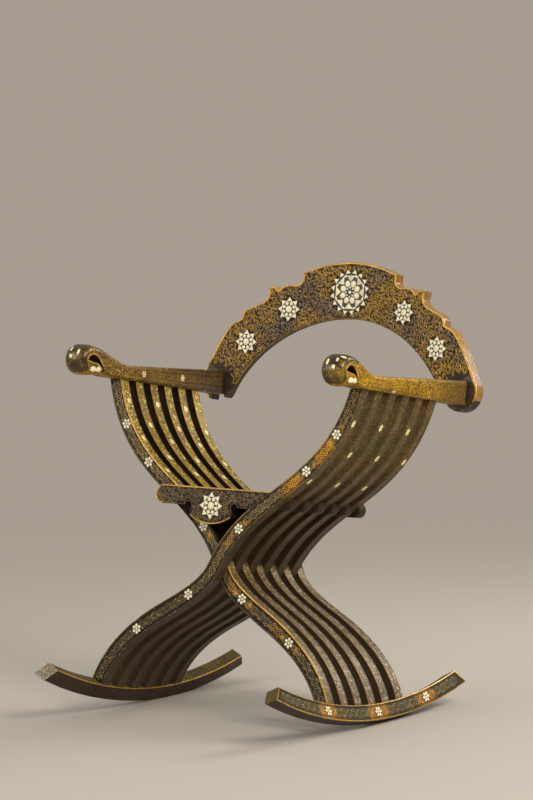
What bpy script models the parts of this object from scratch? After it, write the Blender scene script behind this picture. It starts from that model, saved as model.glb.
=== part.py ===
"""A folding armchair on rockers: two crossed sets of curved staves, a slatted seat and a swinging back board.

Every length is in metres. The pieces are drawn in the chair's own upright frame: X to the chair's right as
the viewer in front sees it, Y to the back and Z up, with the main pivot's axis on Y and the front face of
the first stave at Y = 0. One empty then leans the whole chair back on its rockers and stands it on the floor.
"""

import bisect
import math

import bmesh
import bpy
from mathutils import Matrix, Vector

# The staves: a right set from right arm to left rocker, and its mirror image, laid in turn front to back.
STAVES_A_SIDE = 6
STAVE_THICKNESS = 0.0245
STAVE_CLEARANCE = 0.0005
ARM_REACH = 0.3125
FOOT_REACH = 0.2745
UPPER_HEIGHT = 0.373
LOWER_HEIGHT = 0.2635
STAVE_WIDTH_TOP = 0.030
STAVE_WIDTH_PIVOT = 0.033
STAVE_WIDTH_CALF = 0.037
STAVE_WIDTH_FOOT = 0.031
STAVE_EDGE = 0.0015
STAVE_SLOPE_AT_PIVOT = 0.46
UPPER_TANGENT_SHARE = 0.432
UPPER_HANDLE_SHARES = (0.828, 0.432)
LOWER_TANGENT_SHARE = 0.362
LOWER_HANDLE_SHARES = (0.788, 0.420)
STEPS_A_HALF = 12

# Tenons at both ends of every stave, and the room left wherever one piece sits in or on another.
TENON_SHOULDER = 0.005
TENON_LENGTH = 0.014
TENON_ROOM = 0.002
SEAT_GAP = 0.0003

# Rods that the staves and the seat slats turn on, all with hidden ends.
MAIN_ROD_RADIUS = 0.006
SEAT_ROD_RADIUS = 0.0045
ROD_END_CHAMFER = 0.001
ROD_COVER = 0.008

# The seat: slats hinged to the left staves lie between those hinged to the right ones.
SEAT_HEIGHT = 0.155
SLAT_HEIGHT = 0.032
SLAT_TAIL = 0.035
SLAT_END_GAP = 0.0005

# The front apron hangs lower than the slats, with two coves and a rounded lobe between cusps.
APRON_DROP = 0.068
APRON_LOBE_WIDTH = 0.096
COVE_RADIUS = 0.0115
COVE_CENTRE_DROP = 0.036
COVE_SPREAD = 0.058
CUSP_DROP = 0.054

# Arms with a rolled scroll in front.
ARM_WIDTH = 0.046
ARM_DEPTH_FRONT = 0.030
ARM_DEPTH_REAR = 0.052
ARM_REAR = 0.384
ARM_EDGE = 0.006
NECK_END = 0.040
SCROLL_SETBACK = -0.080
SCROLL_RISE = 0.030
SCROLL_RADIUS = 0.032
SCROLL_WIDTH = 0.055
SCROLL_SPLAY = 0.010
SCROLL_ARC_STEPS = 14
SCROLL_DEPTH_SHARES = (-1.0, -0.82, -0.45, 0.45, 0.82, 1.0)
SCROLL_SIZE_SHARES = (0.58, 0.84, 1.0, 1.0, 0.84, 0.58)
NECK_STEPS = 6
NECK_FORWARD_HANDLE = 0.050
NECK_REAR_HANDLE = 0.042
CURL_CREASE_SHARES = ((0.78, -0.91), (1.25, -0.75), (1.56, -0.84))
EYE_SHARES = (
    (-0.50, -0.03), (-0.31, 0.22), (0.0, 0.34), (0.375, 0.28), (0.75, 0.03), (1.06, -0.34), (1.25, -0.75),
    (1.28, -1.40), (1.16, -1.40), (1.156, -0.75), (0.94, -0.44), (0.56, -0.19), (0.06, -0.125),
)

# Rockers, with a section canted in line with the legs: the sole is made of flats, and the chair stands on one.
ROCKER_CANT = math.radians(26)
ROCKER_WIDTH = 0.031
ROCKER_DEPTH = 0.0345
ROCKER_RADIUS = 1.010
ROCKER_TOP_RADIUS = 1.000
ROCKER_LOW_POINT = 0.100
ROCKER_FRONT = -0.175
ROCKER_REAR = 0.515
TOE_SLANT = 0.026
TREAD_WIDTH = 0.008
SOLE_FLAT_ANGLE = math.radians(2.75)
SOLE_FLATS_FRONT = 11
SOLE_FLATS_REAR = 7
LEAN = math.radians(9.2)
ROCKER_EDGE = 0.002

# The back board, bowed towards the rear, with stepped mouldings along its top.
CREST_THICKNESS = 0.028
CREST_RISE = 0.270
CREST_BOW = 0.026
CREST_PIN_RISE = 0.028
LOBE_RADIUS = 0.041
LOBE_STEPS = 14
ARCH_RADIUS = 0.303
ARCH_RISE = 0.148
CREST_OUTLINE_SHARES = (
    (0.0, 1.0), (0.144, 0.985), (0.262, 0.956), (0.384, 0.907), (0.383, 0.870), (0.387, 0.837), (0.406, 0.815),
    (0.432, 0.804), (0.480, 0.806), (0.518, 0.796), (0.547, 0.774), (0.566, 0.752), (0.586, 0.778),
    (0.608, 0.785), (0.646, 0.778), (0.638, 0.741), (0.638, 0.707), (0.653, 0.678), (0.682, 0.652),
    (0.730, 0.626), (0.778, 0.607), (0.813, 0.581), (0.829, 0.552), (0.835, 0.515), (0.864, 0.500),
    (0.899, 0.481), (0.934, 0.444), (0.966, 0.393), (1.005, 0.322), (1.050, 0.222), (1.084, 0.150),
)

# Pins at the rear ends of the arms: the board turns on the right one and hooks over the left one.
PIN_RADIUS = 0.007
PIN_DEPTH = 0.028
PIN_HEAD_RADIUS = 0.011
PIN_HEAD_LENGTH = 0.006
NOTCH_INNER_FLARE = 0.0255
NOTCH_OUTER_FLARE = 0.0125

OVERRUN = 0.010
ROUND_STEPS = 24
ROD_STEPS = 16

LAYER = STAVE_THICKNESS + STAVE_CLEARANCE
STACK_DEPTH = 2 * STAVES_A_SIDE * LAYER - STAVE_CLEARANCE
RIGHT, LEFT = 1, -1

WALNUT = (0.080, 0.042, 0.022)
DARK_WALNUT = (0.045, 0.026, 0.017)
GILDED_WALNUT = (0.240, 0.140, 0.035)
PIN_WOOD = (0.030, 0.018, 0.012)


def clear_scene():
    for thing in list(bpy.data.objects):
        bpy.data.objects.remove(thing, do_unlink=True)


def bezier(start, handle_a, handle_b, end, t):
    """A point on a cubic curve in the plane."""
    rest = 1 - t
    return tuple(
        rest ** 3 * a + 3 * rest * rest * t * b + 3 * rest * t * t * c + t ** 3 * d
        for a, b, c, d in zip(start, handle_a, handle_b, end)
    )


def arc_points(centre, radius, first, last, steps):
    """Points of an arc from one angle to another, both ends included."""
    angles = [first + (last - first) * step / steps for step in range(steps + 1)]
    return [(centre[0] + radius * math.cos(a), centre[1] + radius * math.sin(a)) for a in angles]


def between(low, high, share):
    return low + (high - low) * share


def stave_front(side, number):
    """The Y of a stave's front face: right staves take the even layers and left ones the odd."""
    layer = 2 * number + (0 if side == RIGHT else 1)
    return layer * LAYER


def rocker_top(y):
    """How far a rocker's upper side rises above its lowest level."""
    reach = y - ROCKER_LOW_POINT
    return ROCKER_TOP_RADIUS - math.sqrt(ROCKER_TOP_RADIUS ** 2 - reach ** 2)


def stave_point(along, foot_rise):
    """The middle of a right stave at -1 (foot) to 0 (pivot) to 1 (arm)."""
    if along >= 0:
        reach, height = ARM_REACH, UPPER_HEIGHT - SEAT_GAP
        tangent, handle = UPPER_TANGENT_SHARE, UPPER_HANDLE_SHARES
    else:
        reach, height = FOOT_REACH, LOWER_HEIGHT - foot_rise
        tangent, handle = LOWER_TANGENT_SHARE, LOWER_HANDLE_SHARES
    start_handle = (STAVE_SLOPE_AT_PIVOT * tangent * height, tangent * height)
    end_handle = (handle[0] * reach, handle[1] * height)
    x, z = bezier((0.0, 0.0), start_handle, end_handle, (reach, height), abs(along))
    return (x, z) if along >= 0 else (-x, -z)


def stave_width(along):
    """The stave's width across its face, largest in the calf below the pivot."""
    stations = (-1.0, -0.5, 0.0, 1.0)
    widths = (STAVE_WIDTH_FOOT, STAVE_WIDTH_CALF, STAVE_WIDTH_PIVOT, STAVE_WIDTH_TOP)
    index = min(bisect.bisect_right(stations, along), len(stations) - 1)
    share = (along - stations[index - 1]) / (stations[index] - stations[index - 1])
    return between(widths[index - 1], widths[index], share)


def stave_section(along, foot_rise):
    """A right stave's two edges, cut level above the pivot and turning to the rocker's cant below it."""
    nudge = 0.5 / STEPS_A_HALF
    low = stave_point(max(along - nudge, -1.0), foot_rise)
    high = stave_point(min(along + nudge, 1.0), foot_rise)
    tilt = math.atan2(high[0] - low[0], high[1] - low[1])
    turn = ROCKER_CANT * min(max(-2 * along, 0.0), 1.0)
    x, z = stave_point(along, foot_rise)
    half = stave_width(along) / 2 / math.cos(tilt - turn)
    across = (half * math.cos(turn), -half * math.sin(turn))
    return (x - across[0], z - across[1]), (x + across[0], z + across[1])


def stave_sections(foot_rise):
    stations = [step / STEPS_A_HALF for step in range(-STEPS_A_HALF, STEPS_A_HALF + 1)]
    return [stave_section(along, foot_rise) for along in stations]


def stave_edges_at(height):
    """Where a right stave's two edges are at a height above the pivot."""
    sections = stave_sections(0.0)
    found = []
    for edge in (0, 1):
        line = [section[edge] for section in sections]
        heights = [point[1] for point in line]
        index = min(max(bisect.bisect_right(heights, height), 1), len(line) - 1)
        low, high = line[index - 1], line[index]
        found.append(between(low[0], high[0], (height - low[1]) / (high[1] - low[1])))
    return found


def seat_rod_place():
    """Where the right seat rod crosses the staves, as X and Z."""
    height = SEAT_HEIGHT - SLAT_HEIGHT / 2
    return sum(stave_edges_at(height)) / 2, height


def crest_pin_place():
    return ARM_REACH, UPPER_HEIGHT + CREST_PIN_RISE


def new_mesh(name, builder):
    """A mesh from a bmesh, with its faces turned outwards."""
    mesh = bpy.data.meshes.new(name)
    bmesh.ops.recalc_face_normals(builder, faces=builder.faces)
    builder.to_mesh(mesh)
    builder.free()
    return mesh


def extruded(outline, low, high, place):
    """A closed prism: each outline point (u, v) goes through place(u, v, depth) at both depths."""
    builder = bmesh.new()
    near = [builder.verts.new(place(u, v, low)) for u, v in outline]
    far = [builder.verts.new(place(u, v, high)) for u, v in outline]
    builder.faces.new(near)
    builder.faces.new(far)
    for index in range(len(outline)):
        after = (index + 1) % len(outline)
        builder.faces.new((near[index], near[after], far[after], far[index]))
    return builder


def facing_front(u, v, depth):
    """Places an outline drawn in X and Z, seen from the front."""
    return Vector((u, depth, v))


def mirror_across(builder):
    """Makes the left-hand copy of a piece drawn for the right."""
    bmesh.ops.transform(builder, matrix=Matrix.Scale(-1, 4, (1, 0, 0)), verts=builder.verts)


def lofted(rings):
    """A closed solid through rings of equally many points, capped at both ends."""
    builder = bmesh.new()
    rows = [[builder.verts.new(point) for point in ring] for ring in rings]
    for row, after in zip(rows, rows[1:]):
        for index in range(len(row)):
            beside = (index + 1) % len(row)
            builder.faces.new((row[index], row[beside], after[beside], after[index]))
    builder.faces.new(rows[0])
    builder.faces.new(rows[-1])
    return builder


def round_bar(centre, radius, low, high, steps=ROUND_STEPS):
    """A plain cylinder along Y, used for holes."""
    outline = arc_points(centre, radius, 0.0, 2 * math.pi, steps)[:-1]
    return extruded(outline, low, high, facing_front)


def joined(builders):
    """Several separate closed shapes as one mesh."""
    whole = bmesh.new()
    for part in builders:
        piece = bpy.data.meshes.new("part of a cutter")
        bmesh.ops.recalc_face_normals(part, faces=part.faces)
        part.to_mesh(piece)
        part.free()
        whole.from_mesh(piece)
        bpy.data.meshes.remove(piece)
    return whole


class Chair:
    """The empties that carry the bodies, and the calls that hang pieces on them."""

    def __init__(self):
        self.root = self.empty("chair", None, (0.0, 0.0, 0.0))
        rod_x, rod_z = seat_rod_place()
        pin_x, pin_z = crest_pin_place()
        self.bodies = {"right_frame": self.empty("right_frame", self.root, (0.0, 0.0, 0.0))}
        self.bodies["left_frame"] = self.empty("left_frame", self.bodies["right_frame"], (0.0, 0.0, 0.0))
        self.bodies["right_slats"] = self.empty("right_slats", self.bodies["right_frame"], (rod_x, 0.0, rod_z))
        self.bodies["left_slats"] = self.empty("left_slats", self.bodies["left_frame"], (-rod_x, 0.0, rod_z))
        self.bodies["crest"] = self.empty("crest", self.bodies["right_frame"], (pin_x, 0.0, pin_z))
        self.origins = {
            "right_frame": (0.0, 0.0, 0.0), "left_frame": (0.0, 0.0, 0.0),
            "right_slats": (rod_x, 0.0, rod_z), "left_slats": (-rod_x, 0.0, rod_z), "crest": (pin_x, 0.0, pin_z),
        }
        self.materials = {}

    def empty(self, name, parent, place):
        holder = bpy.data.objects.new(name, None)
        bpy.context.scene.collection.objects.link(holder)
        holder.parent = parent
        holder.location = place
        return holder

    def material(self, name, colour, roughness):
        if name not in self.materials:
            made = bpy.data.materials.new(name)
            made.use_nodes = True
            shader = made.node_tree.nodes["Principled BSDF"]
            shader.inputs["Base Color"].default_value = (*colour, 1.0)
            shader.inputs["Roughness"].default_value = roughness
            shader.inputs["Metallic"].default_value = 0.0
            self.materials[name] = made
        return self.materials[name]

    def hang(self, name, builder, body, is_cutter=False):
        """Links a piece, drawn in the chair's frame, with its origin on its body's axis."""
        shift = Vector(self.origins[body])
        bmesh.ops.translate(builder, vec=-shift, verts=builder.verts)
        thing = bpy.data.objects.new(name, new_mesh(name, builder))
        bpy.context.scene.collection.objects.link(thing)
        thing.parent = self.bodies[body]
        if is_cutter:
            thing.hide_render = True
            thing.display_type = "WIRE"
        return thing

    def piece(self, name, builder, body, colour, roughness=0.45):
        thing = self.hang(name, builder, body)
        thing.data.materials.append(self.material(name + "_finish", colour, roughness))
        return thing

    def cut(self, thing, body, builders):
        """Takes shapes out of a piece."""
        cutter = self.hang(thing.name + "_cutter", joined(builders), body, is_cutter=True)
        modifier = thing.modifiers.new("Cut", "BOOLEAN")
        modifier.operation = "DIFFERENCE"
        modifier.solver = "EXACT"
        modifier.object = cutter


def round_edges(thing, width, segments):
    """Rounds a piece's sharp edges, ahead of any cut."""
    modifier = thing.modifiers.new("Round", "BEVEL")
    modifier.width = width
    modifier.segments = segments
    modifier.limit_method = "ANGLE"
    modifier.angle_limit = math.radians(40)


def ring_round(near, far, front, inset):
    """Eight points round a stave from its two edges at its front and back faces, arrises broken."""
    broken = inset + STAVE_EDGE
    walk = ((0, 0, broken, inset), (1, 0, broken, inset), (1, 0, inset, broken), (1, 1, inset, broken),
            (1, 1, broken, inset), (0, 1, broken, inset), (0, 1, inset, broken), (0, 0, inset, broken))
    points = []
    for edge, face, across, deep in walk:
        share = deep / STAVE_THICKNESS if face == 0 else 1 - deep / STAVE_THICKNESS
        ends = [Vector(a).lerp(Vector(b), share) for a, b in zip(near, far)]
        place = ends[edge] + (ends[1 - edge] - ends[edge]).normalized() * across
        points.append((place.x, front + STAVE_THICKNESS * share, place.y))
    return points


def shifted(ring, x, z):
    return [(point[0] + x, point[1], point[2] + z) for point in ring]


def foot_rises(front):
    """How far a stave's foot is raised under its front and back faces, on one facet of the rocker."""
    ends = (front - STAVE_CLEARANCE / 2, front + STAVE_THICKNESS + STAVE_CLEARANCE / 2)
    slope = (rocker_top(ends[1]) - rocker_top(ends[0])) / (ends[1] - ends[0])
    faces = (front, front + STAVE_THICKNESS)
    return [rocker_top(ends[0]) + slope * (y - ends[0]) + SEAT_GAP / math.cos(ROCKER_CANT) for y in faces]


def stave_shape(side, number):
    """One stave: a curved bar with broken edges and a tenon at each end."""
    front = stave_front(side, number)
    near, far = [stave_sections(rise) for rise in foot_rises(front)]
    rings = [ring_round(a, b, front, 0.0) for a, b in zip(near, far)]
    foot_tenon = ring_round(near[0], far[0], front, TENON_SHOULDER)
    top_tenon = ring_round(near[-1], far[-1], front, TENON_SHOULDER)
    down = (-TENON_LENGTH * math.sin(ROCKER_CANT), -TENON_LENGTH * math.cos(ROCKER_CANT))
    foot_tip = shifted(foot_tenon, *down)
    top_tip = shifted(top_tenon, 0.0, TENON_LENGTH)
    builder = lofted([foot_tip, foot_tenon] + rings + [top_tenon, top_tip])
    if side == LEFT:
        mirror_across(builder)
    return builder


def rod_span():
    """A rod's two ends, hidden in the first and last pieces that it carries."""
    return ROD_COVER, STACK_DEPTH - ROD_COVER


def rod_hole(centre, radius, front, thickness):
    """A hole for a rod through one layer, blind in the outermost pieces."""
    start, end = rod_span()
    low = max(front - OVERRUN, start - SEAT_GAP)
    high = min(front + thickness + OVERRUN, end + SEAT_GAP)
    return round_bar(centre, radius + SEAT_GAP, low, high, ROD_STEPS)


def add_staves(chair):
    rod_x, rod_z = seat_rod_place()
    for side, body, word in ((RIGHT, "right_frame", "right"), (LEFT, "left_frame", "left")):
        for number in range(STAVES_A_SIDE):
            name = "stave_%s_%d" % (word, number + 1)
            stave = chair.piece(name, stave_shape(side, number), body, DARK_WALNUT)
            front = stave_front(side, number)
            holes = [rod_hole((0.0, 0.0), MAIN_ROD_RADIUS, front, STAVE_THICKNESS),
                     rod_hole((side * rod_x, rod_z), SEAT_ROD_RADIUS, front, STAVE_THICKNESS)]
            chair.cut(stave, body, holes)


def turned(centre, profile, steps):
    """A round shape along Y from its stations and radii."""
    rings = []
    for y, radius in profile:
        outline = arc_points(centre, radius, 0.0, 2 * math.pi, steps)[:-1]
        rings.append([(x, y, z) for x, z in outline])
    return lofted(rings)


def turned_rod(centre, radius, low, high):
    """A round rod along Y with chamfered ends."""
    small = radius - ROD_END_CHAMFER
    profile = ((low, small), (low + ROD_END_CHAMFER, radius), (high - ROD_END_CHAMFER, radius), (high, small))
    return turned(centre, profile, ROD_STEPS)


def add_rods(chair):
    rod_x, rod_z = seat_rod_place()
    low, high = rod_span()
    rods = (("main_pivot_rod", "right_frame", (0.0, 0.0), MAIN_ROD_RADIUS),
            ("seat_rod_right", "right_frame", (rod_x, rod_z), SEAT_ROD_RADIUS),
            ("seat_rod_left", "left_frame", (-rod_x, rod_z), SEAT_ROD_RADIUS))
    for name, body, centre, radius in rods:
        chair.piece(name, turned_rod(centre, radius, low, high), body, PIN_WOOD, 0.5)


def slat_end_cut():
    """The free end of a slat, from its top corner down, cut to lie along the opposite stave's inner edge."""
    steps = 3
    heights = [SEAT_HEIGHT - SLAT_HEIGHT * step / steps for step in range(steps + 1)]
    return [(stave_edges_at(z)[0] - SLAT_END_GAP, z) for z in heights]


def slat_tail():
    """The rounded end past the seat rod, from its underside round to its top."""
    rod_x, rod_z = seat_rod_place()
    radius = SLAT_HEIGHT / 2
    centre = (-(rod_x + SLAT_TAIL - radius), rod_z)
    return arc_points(centre, radius, -math.pi / 2, -3 * math.pi / 2, ROD_STEPS // 2)


def apron_underside():
    """The apron's lower edge from right to left: cove, cusp, lobe, cusp, cove."""
    right_end = stave_edges_at(SEAT_HEIGHT)[0] - SLAT_END_GAP
    left_end = slat_tail()[0][0] - SLAT_HEIGHT / 2
    middle = (right_end + left_end) / 2
    underside = SEAT_HEIGHT - SLAT_HEIGHT
    cove_z = SEAT_HEIGHT - COVE_CENTRE_DROP
    mouth = math.asin((underside - cove_z) / COVE_RADIUS)
    half_lobe = APRON_LOBE_WIDTH / 2
    cusp_z, lobe_z = SEAT_HEIGHT - CUSP_DROP, SEAT_HEIGHT - APRON_DROP
    sag = cusp_z - lobe_z
    lobe_radius = (half_lobe ** 2 + sag ** 2) / (2 * sag)
    spread = math.asin(half_lobe / lobe_radius)
    right = arc_points((COVE_SPREAD, cove_z), COVE_RADIUS, mouth, math.pi * 7 / 6, 8)
    left = [(-x, z) for x, z in reversed(right)]
    lobe = arc_points((0.0, lobe_z + lobe_radius), lobe_radius,
                      -math.pi / 2 + spread, -math.pi / 2 - spread, 8)
    return [(middle + x, z) for x, z in right + lobe + left]


def seat_outline(is_apron):
    """A left-hand slat or the apron, running anticlockwise from its top right corner reversed."""
    cut = slat_end_cut()
    lower = apron_underside() if is_apron else []
    return cut + lower + slat_tail()


def add_seat(chair):
    rod_x, rod_z = seat_rod_place()
    for side, body, word in ((LEFT, "left_slats", "left"), (RIGHT, "right_slats", "right")):
        for number in range(STAVES_A_SIDE):
            is_apron = side == LEFT and number == 0
            front = stave_front(-side, number)
            outline = seat_outline(is_apron)
            builder = extruded(outline, front, front + STAVE_THICKNESS, facing_front)
            if side == RIGHT:
                mirror_across(builder)
            name = "front_apron" if is_apron else "seat_slat_%s_%d" % (word, number + 1)
            slat = chair.piece(name, builder, body, WALNUT)
            hole = rod_hole((side * rod_x, rod_z), SEAT_ROD_RADIUS, front, STAVE_THICKNESS)
            chair.cut(slat, body, [hole])


def arm_outline():
    """The arm seen from the side, as Y and height above its underside, with the scroll in front."""
    centre = (SCROLL_SETBACK, SCROLL_RISE)
    scroll_top = (SCROLL_SETBACK, SCROLL_RISE + SCROLL_RADIUS)
    neck_foot = (NECK_END, ARM_DEPTH_FRONT)
    forward = (scroll_top[0] + NECK_FORWARD_HANDLE, scroll_top[1])
    rear = (neck_foot[0] - NECK_REAR_HANDLE, neck_foot[1])
    neck = [bezier(neck_foot, rear, forward, scroll_top, step / NECK_STEPS) for step in range(NECK_STEPS)]
    scroll = arc_points(centre, SCROLL_RADIUS, math.pi / 2, 3 * math.pi / 2, SCROLL_ARC_STEPS)
    curl = [(centre[0] + u * SCROLL_RADIUS, centre[1] + v * SCROLL_RADIUS) for u, v in CURL_CREASE_SHARES]
    underside_start = (SCROLL_SETBACK + 2 * SCROLL_RADIUS, 0.0)
    return [(ARM_REAR, 0.0), (ARM_REAR, ARM_DEPTH_REAR)] + neck + scroll + curl + [underside_start]


def forwardness(y):
    """Zero along the straight arm and one at the scroll, eased at both ends."""
    share = min(max((NECK_END - y) / (NECK_END - SCROLL_SETBACK), 0.0), 1.0)
    return share * share * (3 - 2 * share)


def arm_ring(depth, scroll_size):
    """The arm's outline at one depth, -1 inner to 1 outer, with the scroll drawn in to a share of its size."""
    ring = []
    for y, v in arm_outline():
        forward = forwardness(y)
        share = between(1.0, scroll_size, forward)
        half = between(ARM_WIDTH, SCROLL_WIDTH, forward) / 2
        middle = ARM_REACH + SCROLL_SPLAY * forward
        ring.append((middle + depth * half, SCROLL_SETBACK + (y - SCROLL_SETBACK) * share,
                     UPPER_HEIGHT + SCROLL_RISE + (v - SCROLL_RISE) * share))
    return ring


def mortise(side, number, width, place):
    """The pocket for one tenon, drawn upright from its mouth and put in place."""
    half = width / 2 - TENON_SHOULDER + TENON_ROOM
    front = stave_front(side, number) + TENON_SHOULDER - SEAT_GAP
    back = stave_front(side, number) + STAVE_THICKNESS - TENON_SHOULDER + SEAT_GAP
    outline = [(-half, -OVERRUN), (half, -OVERRUN), (half, TENON_LENGTH + TENON_ROOM),
               (-half, TENON_LENGTH + TENON_ROOM)]
    return extruded(outline, front, back, place)


def up_into_arm(u, v, depth):
    return Vector((ARM_REACH + u, depth, UPPER_HEIGHT + v))


def eye_cutter():
    """The half-moon eye of the scroll and the slit below it."""
    centre = (SCROLL_SETBACK, SCROLL_RISE)
    outline = [(centre[0] + u * SCROLL_RADIUS, centre[1] + v * SCROLL_RADIUS) for u, v in EYE_SHARES]
    half = SCROLL_WIDTH / 2 + SCROLL_SPLAY + OVERRUN

    def place(u, v, depth):
        return Vector((ARM_REACH + depth, u, UPPER_HEIGHT + v))
    return extruded(outline, -half, half + SCROLL_SPLAY, place)


def add_arms(chair):
    pin_x, pin_z = crest_pin_place()
    for side, body, word in ((RIGHT, "right_frame", "right"), (LEFT, "left_frame", "left")):
        rings = [arm_ring(depth, size) for depth, size in zip(SCROLL_DEPTH_SHARES, SCROLL_SIZE_SHARES)]
        builder = lofted(rings)
        cutters = [mortise(side, number, STAVE_WIDTH_TOP, up_into_arm) for number in range(STAVES_A_SIDE)]
        cutters.append(eye_cutter())
        cutters.append(round_bar((pin_x, pin_z), PIN_RADIUS + SEAT_GAP, ARM_REAR - PIN_DEPTH - SEAT_GAP,
                                 ARM_REAR + OVERRUN))
        if side == LEFT:
            mirror_across(builder)
            for cutter in cutters:
                mirror_across(cutter)
        arm = chair.piece("arm_" + word, builder, body, GILDED_WALNUT, 0.4)
        round_edges(arm, ARM_EDGE, 2)
        chair.cut(arm, body, cutters)


def sole_breaks():
    """The corners between the flats of the sole, as Y and height above its lowest level."""
    steps = range(-SOLE_FLATS_FRONT, SOLE_FLATS_REAR + 2)
    centre = (ROCKER_LOW_POINT, ROCKER_RADIUS)
    angles = [LEAN + (step - 0.5) * SOLE_FLAT_ANGLE - math.pi / 2 for step in steps]
    return [arc_points(centre, ROCKER_RADIUS, angle, angle, 1)[0] for angle in angles]


def top_breaks():
    """The corners between the facets of the upper side, one facet under every stave."""
    first = -math.ceil((-ROCKER_FRONT) / LAYER) - 1
    last = math.ceil(ROCKER_REAR / LAYER) + 1
    stations = [step * LAYER - STAVE_CLEARANCE / 2 for step in range(first, last + 1)]
    return [(y, rocker_top(y)) for y in stations]


def height_on(line, y):
    """The height of a broken line at a Y inside it."""
    index = min(max(bisect.bisect_right([point[0] for point in line], y), 1), len(line) - 1)
    low, high = line[index - 1], line[index]
    return between(low[1], high[1], (y - low[0]) / (high[0] - low[0]))


def rocker_ring(y_top, y_bottom):
    """A rocker's section on the left side of the chair: broken arrises above, a level tread below."""
    top, bottom = height_on(top_breaks(), y_top), height_on(sole_breaks(), y_bottom)
    half = ROCKER_WIDTH / 2
    tread_in, tread_up = TREAD_WIDTH * math.cos(ROCKER_CANT), TREAD_WIDTH * math.sin(ROCKER_CANT)
    above = ((half - ROCKER_EDGE, 0.0), (half, -ROCKER_EDGE))
    below = ((half, tread_up - ROCKER_DEPTH), (half - tread_in, -ROCKER_DEPTH),
             (ROCKER_EDGE - half, -ROCKER_DEPTH), (-half, ROCKER_EDGE - ROCKER_DEPTH))
    beyond = ((-half, -ROCKER_EDGE), (ROCKER_EDGE - half, 0.0))
    return ([from_leg(across, along, y_top, top) for across, along in above]
            + [from_leg(across, along, y_bottom, bottom) for across, along in below]
            + [from_leg(across, along, y_top, top) for across, along in beyond])


def from_leg(across, along, y, rise):
    """A place by the left foot, from its distance inwards across the leg and up along it, raised with the arc."""
    cosine, sine = math.cos(ROCKER_CANT), math.sin(ROCKER_CANT)
    return Vector((across * cosine + along * sine - FOOT_REACH, y,
                   along * cosine - across * sine - LOWER_HEIGHT + rise))


def rocker_shape():
    inner_front, inner_rear = ROCKER_FRONT + TOE_SLANT, ROCKER_REAR - TOE_SLANT
    corners = [point[0] for point in sole_breaks() + top_breaks()]
    margin = ROCKER_EDGE
    between_ends = sorted(y for y in corners if inner_front + margin < y < inner_rear - margin)
    stations = [between_ends[0]]
    for y in between_ends[1:]:
        if y - stations[-1] > SEAT_GAP:
            stations.append(y)
    rings = [rocker_ring(y, y) for y in stations]
    return lofted([rocker_ring(inner_front, ROCKER_FRONT)] + rings + [rocker_ring(inner_rear, ROCKER_REAR)])


def add_rockers(chair):
    for side, body, word in ((RIGHT, "right_frame", "left"), (LEFT, "left_frame", "right")):
        builder = rocker_shape()
        pockets = []
        for number in range(STAVES_A_SIDE):
            mouth = sum(foot_rises(stave_front(side, number))) / 2

            def down_into_rocker(u, v, depth):
                return from_leg(u, -v, depth, mouth)
            pockets.append(mortise(side, number, STAVE_WIDTH_FOOT, down_into_rocker))
        if side == LEFT:
            mirror_across(builder)
            for pocket in pockets:
                mirror_across(pocket)
        rocker = chair.piece("rocker_" + word, builder, body, DARK_WALNUT)
        chair.cut(rocker, body, pockets)


def crest_front(x):
    """The Y of the back board's front face: flat at both ends and bowed between them."""
    share = min(abs(x) / (ARM_REACH - LOBE_RADIUS), 1.0)
    return ARM_REAR + SEAT_GAP + CREST_BOW * (1 - share * share) ** 1.5


def arch_point(angle):
    """The board's inner arch, at an angle above its centre's level."""
    centre_z = UPPER_HEIGHT + CREST_PIN_RISE + ARCH_RISE - ARCH_RADIUS
    return ARCH_RADIUS * math.cos(angle), centre_z + ARCH_RADIUS * math.sin(angle)


def crest_half():
    """Pairs of outer and inner points from the middle of the board to where its right lobe starts."""
    pin_x, pin_z = crest_pin_place()
    arch_z = arch_point(0.0)[1]
    pairs = []
    for u, v in CREST_OUTLINE_SHARES:
        outer = (u * ARM_REACH, pin_z + v * CREST_RISE)
        pairs.append((outer, arch_point(math.atan2(outer[1] - arch_z, outer[0]))))
    return pairs


def lobe_points():
    """The round end of the board, from its outer side down and round to the arch."""
    centre = crest_pin_place()
    outer, inner = crest_half()[-1]
    first = math.atan2(outer[1] - centre[1], outer[0] - centre[0])
    last = math.atan2(inner[1] - centre[1], inner[0] - centre[0])
    first = min(first, math.pi / 3)
    last = last - 2 * math.pi if last > first else last
    reach = (last - first) / LOBE_STEPS
    steps = [first + reach * (step + 0.5) for step in range(1, LOBE_STEPS - 2)]
    return [(centre[0] + LOBE_RADIUS * math.cos(a), centre[1] + LOBE_RADIUS * math.sin(a)) for a in steps]


def crest_shape():
    """The back board as one closed strip along its arch, with a round lobe at both ends."""
    half = crest_half()
    pairs = [((-o[0], o[1]), (-i[0], i[1])) for o, i in reversed(half[1:])] + half
    builder = bmesh.new()

    def column(point):
        front = crest_front(point[0])
        return (builder.verts.new((point[0], front, point[1])),
                builder.verts.new((point[0], front + CREST_THICKNESS, point[1])))
    rings = [(column(outer), column(inner)) for outer, inner in pairs]
    for (outer, inner), (next_outer, next_inner) in zip(rings, rings[1:]):
        for a, b in ((outer, next_outer), (inner, next_inner)):
            builder.faces.new((a[0], b[0], b[1], a[1]))
        for level in (0, 1):
            builder.faces.new((outer[level], next_outer[level], next_inner[level], inner[level]))
    lobe = lobe_points()
    for side, ring in ((RIGHT, rings[-1]), (LEFT, rings[0])):
        rim = [ring[0]] + [column((side * x, z)) for x, z in lobe] + [ring[1]]
        for a, b in zip(rim, rim[1:]):
            builder.faces.new((a[0], b[0], b[1], a[1]))
        for level in (0, 1):
            builder.faces.new([pair[level] for pair in rim])
    return builder


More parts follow.
